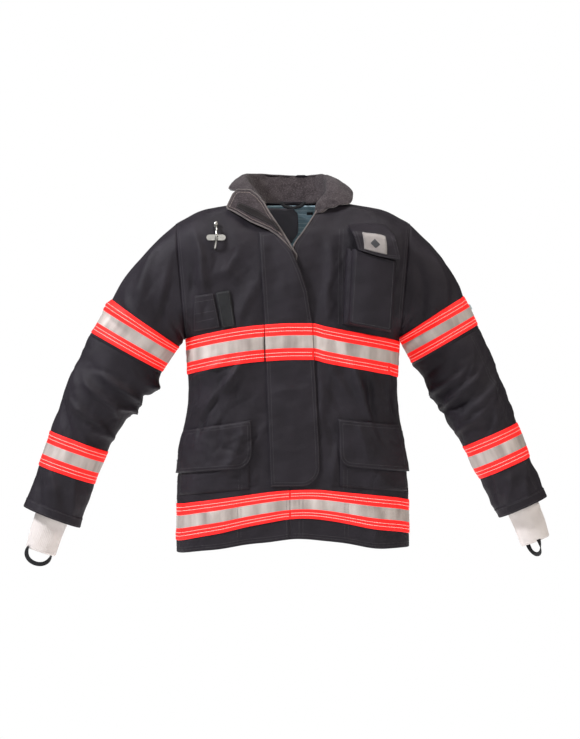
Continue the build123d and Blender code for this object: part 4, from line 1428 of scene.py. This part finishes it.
addPatch("lapel", lapelOutline, lapelPlace, 4.0, cloth["heather"], "coat", None, "collar_cloth", low=0.3,
         edgeRound=3, spacing=3, relief=lapelRelief)
stripOutline = roundedOutline(collar["strip"], 2.4)
addPatch("lapelHooks", stripOutline, lapelPlace, 1.2, cloth["gripHooks"], "coat", None, "grip_tape",
         low=6.2, edgeRound=1, spacing=2.6, relief=lambda x, z, away: lapelRelief(x, z, away + 12) - 1.2)


def tubeAlong(name, points, radius, material, body, node=None, flatten=1.0, sides=8,
              closed=False):
    # a round or flattened edge roll swept along a line
    points = np.asarray(points, float)
    if closed:
        ahead = np.roll(points, -1, 0) - np.roll(points, 1, 0)
    else:
        ahead = np.gradient(points, axis=0)
    ahead /= np.linalg.norm(ahead, axis=1, keepdims=True) + 1e-9
    first = np.cross(ahead, np.array([0.0, -1.0, 0.0]))
    first /= np.linalg.norm(first, axis=1, keepdims=True) + 1e-9
    second = np.cross(first, ahead)
    turn = np.linspace(0, math.tau, sides, endpoint=False)
    cosine, sine = np.cos(turn)[None, :, None], np.sin(turn)[None, :, None]
    ring = points[:, None] + radius * (first[:, None] * cosine + flatten * second[:, None] * sine)
    rows = len(points)
    faces = gridFaces(rows, sides, True).tolist()
    if closed:
        last = (rows - 1) * sides
        faces += [[last + j, last + (j + 1) % sides, (j + 1) % sides, j] for j in range(sides)]
    else:
        faces += [list(range(sides))[::-1], [(rows - 1) * sides + j for j in range(sides)]]
    uv = np.stack(np.meshgrid(turn * radius, np.arange(rows) * 3.0), -1).reshape(-1, 2)
    obj = makeObject(name, ring.reshape(-1, 3), faces, uv, [material])
    return fit(obj, body, node)


lapelEdge = lapelPlace(lapelOutline[:, 0], lapelOutline[:, 1], np.full(len(lapelOutline), 2.6))
tubeAlong("lapelBinding", lapelEdge, 1.5, cloth["binding"], "coat", closed=True)
edgeHeights = np.linspace(-116, -20, 40)
leftEdgeLine = frontPoint(leftEdgeX(edgeHeights), edgeHeights, np.full(40, 0.6))
tubeAlong("leftEdgeBinding", leftEdgeLine, 1.4, cloth["binding"], "coat")

hookForm = {"x": -161.0, "top": -50.0, "foot": -101.0, "bow": 12.0, "radius": 2.5, "knob": 5.0}
drop = np.linspace(0, 1, 30)
barSpots = frontPoint(
    hookForm["x"] + 3 * np.sin(drop * math.pi) - 1.5 * drop,
    hookForm["top"] + (hookForm["foot"] - hookForm["top"]) * drop,
    1.5 + hookForm["bow"] * np.sin(np.clip(drop, 0, 1) * math.pi) ** 0.7,
)
tubeAlong("hookBar", barSpots, hookForm["radius"], cloth["nickel"], "coat",
          node="hook_bar", sides=14)
knobRows, knobSides = 14, 20
knobTurn = np.linspace(0.02, math.pi - 0.02, knobRows)
knobDrop = -7.5 * np.cos(knobTurn)
knobSpots = barSpots[1] + np.array([0, -2.0, 0]) + np.stack([0 * knobTurn, 0 * knobTurn, knobDrop], -1)
spin = np.linspace(0, math.tau, knobSides, endpoint=False)
knobRound = np.stack([np.cos(spin), -np.sin(spin), 0 * spin], -1)
knobRings = knobSpots[:, None] + hookForm["knob"] * np.sin(knobTurn)[:, None, None] * knobRound[None]
knobFaces = gridFaces(knobRows, knobSides, True).tolist()
knobFaces += [list(range(knobSides))[::-1], [(knobRows - 1) * knobSides + j for j in range(knobSides)]]
knob = makeObject("hookKnob", knobRings.reshape(-1, 3), [f[::-1] for f in knobFaces], None,
                  [cloth["nickel"]])
fit(knob, "coat", None)

# what shows inside the neck


def insideBack(x, z, lift):
    # the inner face of the back, seen through the neck
    x, z, lift = np.broadcast_arrays(np.asarray(x, float), np.asarray(z, float), np.asarray(lift, float))
    return behind(x, z, -8.2 - lift)


innerPanel = roundedOutline([(-62, -3), (1, -4, 3), (10, -14, 8), (12, -34), (12, -54, 16), (-7, -86, 8),
                             (-62, -96)], 3)
addPatch("innerPanel", innerPanel[::-1], insideBack, 1.4, cloth["shellLining"], "coat", None,
         "shell_cloth", low=0.4)
sizeLabel = roundedOutline([(30, -11, 1), (43, -11, 1), (43, -18, 1), (30, -18, 1)], 2)
addPatch("sizeLabel", sizeLabel[::-1], insideBack, 0.5, cloth["blackTape"], "coat", None, "black_tape",
         low=0.6, spacing=2)
hangerSpots = []
for t in np.linspace(0, 1, 30):
    a = math.pi * t
    hangerSpots.append((-24 * math.cos(a), 2.0 - 2.5 * math.sin(a), 6 - 13 * math.sin(a) ** 0.8))
tubeAlong("hangerLoop", hangerSpots, 3.4, cloth["blackTape"], "coat", node="hanger_loop",
          flatten=0.3)

# the zip

zipForm = {"top": -112.0, "foot": -584.0, "tapeDepth": -4.6, "teeth": 120, "pitch": 2.4}
for side, near, far in (("right", -5.2, -17.0), ("left", -2.8, 9.0)):
    lo, hi = sorted((near, far))
    outline = roundedOutline([(lo, zipForm["top"]), (hi, zipForm["top"]), (hi, zipForm["foot"]),
                              (lo, zipForm["foot"])], 6)
    addPatch(side + "ZipTape", outline, frontPoint, 0.8, cloth["blackTape"], "coat", side + "_zip_half",
             "zip_tape", low=zipForm["tapeDepth"], spacing=6)
toothCount = zipForm["teeth"]
teethHeights = np.linspace(zipForm["top"], zipForm["foot"], toothCount)
for side, x in (("right", -5.0), ("left", -3.2)):
    shift = 0.0 if side == "right" else zipForm["pitch"] / 2
    heights = teethHeights - shift
    line = frontPoint(np.full(toothCount, x), heights, np.full(toothCount, zipForm["tapeDepth"] + 1.4))
    proud = frontPoint(np.full(toothCount, x), heights, np.full(toothCount, zipForm["tapeDepth"] + 2.4))
    sizes = (zipForm["pitch"], 1.3, 2.6, 2.0)
    teeth = layRow(side + "ZipTeeth", [(line, proud - line)], toothTree, sizes, cloth["zipTeeth"])
    fit(teeth, "coat", None)

# wristlets and thumb loops

wristlet = {
    "tuck": 30.0, "shown": 77.0, "ribs": 56, "wall": 2.2,
    "right": {"turn": -2.0, "near": (36, 31), "far": (32, 26), "loopTurn": 12, "loopShift": 0.0},
    "left": {"turn": -3.0, "near": (35, 30), "far": (31, 25), "loopTurn": 70, "loopShift": -7.0},
    "loopWidth": 9.0, "loopThick": 1.4, "loopDrop": 26.0,
}


forward = np.array([0, -1.0, 0])


def wristFrame(side):
    cx, cz, _, _, lean = sleeveForm[side][-1]
    angle = math.radians(lean + wristlet[side]["turn"])
    sign = sideSign[side]
    across = np.array([sign * math.cos(angle), 0, math.sin(angle)])
    down = np.array([sign * math.sin(angle), 0, -math.cos(angle)])
    return np.array([sign * cx, middleY, cz]), across, down


def wristPoint(side, v, phi, lift=0.0):
    middle, across, down = wristFrame(side)
    v, phi = np.broadcast_arrays(np.asarray(v, float), np.asarray(phi, float))
    share = np.clip((v + wristlet["tuck"]) / (wristlet["tuck"] + wristlet["shown"]), 0, 1)
    near, far = wristlet[side]["near"], wristlet[side]["far"]
    ribs = 0.75 * np.abs(np.cos(phi * wristlet["ribs"] / 2)) ** 0.7 * easeStep((wristlet["shown"] - v) / 3)
    bunch = 1.0 * np.sin(v / 9.0 + 1.3 * np.sin(phi)) * easeStep((18 - v) / 14)
    bunch = bunch + 0.8 * softNoise(np.cos(phi) * 40, v, 40, 81)
    hem = -1.4 * easeStep(1 - (wristlet["shown"] - v) / 3)
    grow = ribs + bunch + hem + lift
    a = near[0] + (far[0] - near[0]) * share + grow
    b = near[1] + (far[1] - near[1]) * share + grow
    c, s = np.cos(phi), np.sin(phi)
    return middle + down * v[..., None] + across * (a * c)[..., None] + forward * (b * s)[..., None]


for side in ("right", "left"):
    body = side + "_lower_arm"
    rows = np.linspace(-wristlet["tuck"], wristlet["shown"], 44)[:, None]
    phi = np.linspace(0, math.tau, wristlet["ribs"] * 5, endpoint=False)[None, :]
    uv = np.stack(np.broadcast_arrays(phi * 34, rows), -1)
    knitTube = gridSheet(side + "Wristlet", wristPoint(side, rows, phi), uv, [cloth["knit"]],
                         wristlet["wall"], closed=True, flip=side == "right")
    fit(knitTube, body, side + "_wristlet")
    middle, across, down = wristFrame(side)
    half = wristlet[side]["far"][0] * 0.84
    path = []
    for t in np.linspace(-0.16, 1.16, 46):
        if t < 0 or t > 1:
            sideways = -half if t < 0 else half
            path.append((sideways, -min(abs(t), abs(t - 1)) * 34))
        else:
            a = math.pi * t
            path.append((-half * math.cos(a), wristlet["loopDrop"] * math.sin(a) ** 0.85))
    path = np.array(path)
    centre = middle + down * wristlet["shown"] + forward * (wristlet[side]["far"][1] * 0.56 + 1.6)
    centre = centre + across * wristlet[side]["loopShift"]
    twist = math.radians(wristlet[side]["loopTurn"])
    reach = math.hypot(math.cos(twist),
                       math.sin(twist) * wristlet[side]["far"][1] / wristlet[side]["far"][0])
    sideways = across * math.cos(twist) / reach + forward * math.sin(twist) / reach
    line = centre + path[:, :1] * sideways + path[:, 1:] * down
    width = np.linspace(-0.5, 0.5, 5) * wristlet["loopWidth"]
    flat = np.cross(sideways, down)
    ahead = np.gradient(line, axis=0)
    outward = np.cross(ahead, flat)
    outward /= np.linalg.norm(outward, axis=1, keepdims=True)
    share = easeStep(1 - np.abs(np.linspace(-1, 1, len(line))) ** 2)[:, None] * 0.85
    flat = flat * (1 - share) + outward * share
    flat /= np.linalg.norm(flat, axis=1, keepdims=True)
    points = line[:, None] + width[None, :, None] * flat[:, None]
    uv = np.stack(np.meshgrid(width, np.arange(len(line)) * 2.2), -1)
    loop = gridSheet(side + "ThumbLoop", points, uv, [cloth["blackTape"]], wristlet["loopThick"])
    fit(loop, side + "_thumb_loop", side + "_thumb_loop")
print("collar, zip and wristlets made")

# stitching

stitchPlan = {
    "bandRows": (8.6, 15.6, 60.4, 67.4), "seamRows": (4.0, 9.5),
    "plain": (3.6, 2.7, 0.8, 0.5), "bold": (3.6, 3.0, 1.05, 0.6),
}


def sewLoop(body, thread, place, outline, inset, lift, relief=None):
    loop = insetLoop(outline, inset)
    if relief is None:
        sew(body, thread, place, loop, lift)
        return
    away = np.full(len(loop), float(inset))
    height = lift + relief(loop[:, 0], loop[:, 1], away)
    flat = place(loop[:, 0], loop[:, 1], height)
    proud = place(loop[:, 0], loop[:, 1], height + 1.0)
    stitchLines.setdefault((body, thread), []).append((flat, proud - flat))


def bandRow(kind, offset):
    def place(s, unused, lift):
        level = bandLines["level"][kind]
        wrapped = wrapRound(s, halfGirth(level))
        x, _ = crossSection(wrapped, bodyWidth(level), bodyDepth(level))
        z = bandTop(kind, wrapped, x) - offset
        return bodyPoint(wrapped, towardsHem(z, wrapped) if kind == "hem" else z, lift)

    return place


def flatRoute(*spots):
    return [(float(a), float(b)) for a, b in spots]


for kind, sides in (
    ("chest", [(-chestSide + 2, -61), (9, chestSide - 2), (chestSide + 1, 2 * chestGirth - chestSide - 1)]),
    ("hem", [(-hemSide + 2, -10), (-2, hemSide - 2), (hemSide + 1, 2 * hemGirth - hemSide - 1)]),
):
    for offset in stitchPlan["bandRows"]:
        for s0, s1 in sides:
            sew("coat", "paleThread", bandRow(kind, offset), flatRoute((s0, 0), (s1, 0)), 2.05)
for offset in stitchPlan["bandRows"]:
    def flapBand(x, unused, lift, offset=offset):
        z = bandTop("chest", 0 * x, x) - offset
        away = np.minimum(x - seamX(z), freeX(z) - x)
        top = stormFlap["low"] + stormFlap["thickness"] + 1.3 + lift + stormRelief(x, z, away)
        return frontPoint(x, z, top)

    sew("storm_flap", "paleThread", flapBand, flatRoute((-56, 0), (38, 0)), 0.15)

for offset in (6.0, 11.0):
    def hemRow(s, unused, lift, offset=offset):
        wrapped = wrapRound(s, halfGirth(-610))
        return bodyPoint(wrapped, hemLine(wrapped) + offset, lift)

    sew("coat", "darkThread", hemRow, flatRoute((2, 0), (2 * hemGirth - 14, 0)), 0.2)
for inset in (3.0, 8.5):
    sewLoop("storm_flap", "darkThread", frontPoint, stormOutline, inset, 4.75, stormRelief)
for side in ("right", "left"):
    values, sign = cargo[side], sideSign[side]
    flapLine = roundedOutline(values["flap"])
    for inset in (3.2, 9.0):
        sewLoop(side + "_cargo_flap", "darkThread", frontPoint, flapLine, inset, 6.3, values["relief"])
    for x0 in (106.0, 113.0):
        sew("coat", "darkThread", frontPoint, flatRoute((x0 * sign, -562), (x0 * sign, -601)), 3.0)
    seams = (-6.0, -13.0) if side == "right" else (13.0, 21.0)
    for x0 in (108.0 * sign, 115.0 * sign) + seams:
        sew("coat", "darkThread", frontPoint, flatRoute((x0, -607 - 0.06 * abs(x0)), (x0, -684)), 2.5)
        sew("coat", "darkThread", frontPoint, flatRoute((x0, -688), (x0, -700)), 0.3)
    for shift in (-4.0, 4.0):
        thread = "whiteThread" if side == "left" and shift < 0 else "darkThread"

        def seamRow(unused, z, lift, shift=shift, sign=sign):
            # beside the side seam, and over the shoulder beside its seam
            return bodyPoint(sign * (sideSeam(z) + shift), z, lift)

        sew("coat", thread, seamRow, flatRoute((0, -296), (0, -304)), 0.2)
        sew("coat", thread, seamRow, flatRoute((0, -376), (0, -625)), 0.2)
        sew("coat", thread, seamRow, flatRoute((0, -632), (0, -700)), 2.4)
        sew("coat", "darkThread", seamRow, flatRoute((0, -4), (0, -44)), 0.2)
    for inset in stitchPlan["seamRows"]:
        for face in (1, -1):
            def armholeRow(unused, z, lift, inset=inset, face=face, sign=sign):
                s = panelEdge(z) - inset if face > 0 else 2 * sideSeam(z) - panelEdge(z) + inset
                return bodyPoint(sign * s, z, lift)

            sew("coat", "darkThread", armholeRow, flatRoute((0, -52), (0, -262)), 0.2)

sewLoop("coat", "darkThread", radioFace, faceOutline, 4.0, 0.75)
for edge in (3.5, 10):
    foot = 100 - edge * 1.1
    route = flatRoute((edge, 25), (edge, foot), (100 - edge, foot), (100 - edge, 25))
    sew("radio_flap", "darkThread", lambda u, v, lift: radioFlapPoint(u / 100, v / 100, lift), route, 0.3)
sewLoop("radio_flap", "darkThread", badgePlace, badgeSquare, 1.6, 1.6)
for x0 in (97.0, 105.0):
    sew("coat", "darkThread", frontPoint, flatRoute((x0, -60), (x0 - 3, -200), (x0 - 2, -256)), 0.25)
lampPatch, lampStrap = roundedOutline(lamp["patch"]), roundedOutline(lamp["strap"])
sewLoop("coat", "darkThread", frontPoint, lampPatch, 3.0, 2.5)
for z0 in (-212, -236, -252):
    sew("coat", "darkThread", frontPoint, flatRoute((-202, z0), (-166, z0 + 6)), 2.5)
sewLoop("flashlight_strap", "darkThread", frontPoint, lampStrap, 3.0, 5.6)
sewLoop("drag_flap", "darkThread", behind, roundedOutline(dragFlapCut), 4, 6.3)
for x0 in (-11.0, 11.0):
    sew("coat", "darkThread", behind, flatRoute((x0, -174), (x0, -180)), 3.4)
sewLoop("coat", "tanThread", lapelPlace, lapelOutline, 5.5, 4.5, lapelRelief)
sewLoop("coat", "darkThread", lapelPlace, stripOutline, 2.0, 8.0, lambda x, z,
        away: lapelRelief(x, z, away + 12) - 1.2)
for v0 in (1.88, 0.12):
    sew("coat", "tanThread", lambda u, v, lift: collarPoint(u / 24, v, lift),
        flatRoute((8, v0), (352, v0)), 0.3)
for inset in (5.0, 10.0):
    def neckRow(unused, z, lift, inset=inset):
        return frontPoint(leftEdgeX(z) + inset, z, lift)

    sew("coat", "darkThread", neckRow, flatRoute((0, -30), (0, -114)), 0.3)
for side in ("right", "left"):
    upper, lower = side + "_upper_arm", side + "_lower_arm"
    knots = sleeveKnots[side]

    def ring(around, k, lift, side=side):
        return sleevePoint(side, k / 80, around / 80, lift)

    for k0, body in ((1, upper), (5, lower)):
        for offset in stitchPlan["bandRows"]:
            k = (k0 + offset / 76.0) * 80
            sew(body, "paleThread", ring, flatRoute((0, k), (math.tau * 80, k)), 2.2)
    cuffLength = knots[-1] - knots[-2]
    for offset in (3.5, 17.5):
        k = (7 - offset / cuffLength) * 80
        sew(lower, "darkThread", ring, flatRoute((0, k), (math.tau * 80, k)), 1.25)
    for phi in (0.78, 0.86) if side == "left" else (5.4, 5.48):
        sew(lower, "darkThread", ring, flatRoute((phi * 80, 2.3 * 80), (phi * 80, 4.94 * 80)), 0.25)
        sew(lower, "darkThread", ring, flatRoute((phi * 80, 6.04 * 80), (phi * 80, 6.7 * 80)), 0.25)

for (body, thread), lines in stitchLines.items():
    sizes = stitchPlan["bold"] if thread in ("paleThread", "whiteThread") else stitchPlan["plain"]
    row = layRow("stitches_" + body + "_" + thread, lines, stitchTree, sizes, cloth[thread])
    fit(row, body, None)


flapHangs = {
    # what each free-hanging flap hangs from, and the pieces sewn on it
    "stormFlap": ("right_front_shell", ["stormFlapTrim", "hookTape", "stitches_storm_flap_darkThread",
                                        "stitches_storm_flap_paleThread"]),
    "rightCargoFlap": ("right_front_shell", ["stitches_right_cargo_flap_darkThread"]),
    "leftCargoFlap": ("left_front_shell", ["stitches_left_cargo_flap_darkThread"]),
    "dragFlap": ("back_shell", ["stitches_drag_flap_darkThread"]),
    "radioFlap": ("left_front_shell", ["radioBadge", "badgeMark", "stitches_radio_flap_darkThread"]),
}


def cutSize(outline, unroll):
    # width, length and area of a flap's cut, unrolled from round the body where it wraps
    flat = np.asarray(outline, float).copy()
    if unroll:
        flat[:, 0] = alongFromX(flat[:, 0], flat[:, 1])
    width, length = flat.max(0) - flat.min(0)
    x, z = flat.T
    return width, length, abs(np.sum(x * np.roll(z, -1) - np.roll(x, -1) * z)) / 2


flapGrid = radioFlapPoint(u, v)
radioWidth = np.linalg.norm(np.diff(flapGrid, axis=1), axis=-1).sum(1).max()
radioLength = np.linalg.norm(np.diff(flapGrid, axis=0), axis=-1).sum(0).max()
flapCuts = {
    "stormFlap": cutSize(stormOutline, True),
    "rightCargoFlap": cutSize(roundedOutline(cargo["right"]["flap"]), True),
    "leftCargoFlap": cutSize(roundedOutline(cargo["left"]["flap"]), True),
    "dragFlap": cutSize([spot[:2] for spot in dragFlapCut], False),
    "radioFlap": (radioWidth, radioLength, 0.9 * radioWidth * radioLength),
}
for name, (hangsFrom, sewnOn) in flapHangs.items():
    width, length, area = flapCuts[name]
print("stitching laid", sum(len(lines) for lines in stitchLines.values()), "lines")

# light, backdrop and view

stageForm = {"distance": 6.0, "middle": (-6, -352), "frameHeight": 1564.0, "tone": (0.95, 0.95, 0.95),
             "glow": 0.85, "roomLight": 0.2}
steps = [(-5.0, -1.9), (0.0, -1.9), (5.0, -1.9)]
floorPoints = [(x, y, z) for y, z in steps for x in (-5.0, 5.0)]
floorMesh = bpy.data.meshes.new("backdrop")
floorMesh.from_pydata(floorPoints, [],
                      [(2 * i, 2 * i + 1, 2 * i + 3, 2 * i + 2) for i in range(len(steps) - 1)])
floorMesh.polygons.foreach_set("use_smooth", [True] * len(floorMesh.polygons))
backdrop = bpy.data.objects.new("backdrop", floorMesh)
bpy.context.scene.collection.objects.link(backdrop)
paper, paperShader = startMaterial("paper", {"rough": 0.9})
paperShader.inputs["Base Color"].default_value = (*stageForm["tone"], 1)
paperShader.inputs["Emission Color"].default_value = (1, 1, 1, 1)
paperShader.inputs["Emission Strength"].default_value = stageForm["glow"]
floorMesh.materials.append(paper)

lampSettings = {
    "key": {"place": (-2.4, -1.3, 1.9), "size": 0.7, "power": 225, "color": (0.93, 0.95, 1.0)},
    "fill": {"place": (2.6, -1.6, 1.1), "size": 1.2, "power": 50, "color": (1.0, 0.93, 0.84)},
    "top": {"place": (0.3, -0.6, 2.3), "size": 1.2, "power": 70, "color": (1.0, 0.98, 0.95)},
    "front": {"place": (0.2, -4.5, 0.6), "size": 2.5, "power": 40, "color": (1.0, 1.0, 1.0)},
}
aim = Vector((0, -0.04, -0.38))
for name, spec in lampSettings.items():
    light = bpy.data.lights.new(name, "AREA")
    light.shape = "DISK"
    light.size = spec["size"]
    light.energy = spec["power"]
    light.color = spec["color"]
    holder = bpy.data.objects.new(name, light)
    holder.location = spec["place"]
    holder.rotation_euler = (aim - holder.location).to_track_quat("-Z", "Y").to_euler()
    bpy.context.scene.collection.objects.link(holder)
world = bpy.data.worlds.new("room")
world.use_nodes = True
room = world.node_tree.nodes["Background"]
room.inputs["Color"].default_value = (1, 1, 1, 1)
seen = world.node_tree.nodes.new("ShaderNodeLightPath")
level = world.node_tree.nodes.new("ShaderNodeMapRange")
level.inputs["To Min"].default_value = stageForm["roomLight"]
level.inputs["To Max"].default_value = 1.0
world.node_tree.links.new(seen.outputs["Is Camera Ray"], level.inputs["Value"])
world.node_tree.links.new(level.outputs["Result"], room.inputs["Strength"])
bpy.context.scene.world = world
bpy.context.scene.view_settings.view_transform = "Standard"

lens = bpy.data.cameras.new("camera")
lens.sensor_fit = "VERTICAL"
lens.sensor_height = 36
lens.lens = 36 * stageForm["distance"] * 1000 / stageForm["frameHeight"]
camera = bpy.data.objects.new("camera", lens)
middleX, middleZ = (v * mm for v in stageForm["middle"])
camera.location = (middleX, middleY * mm - stageForm["distance"], middleZ)
camera.rotation_euler = (math.pi / 2, 0, 0)
bpy.context.scene.collection.objects.link(camera)
bpy.context.scene.camera = camera
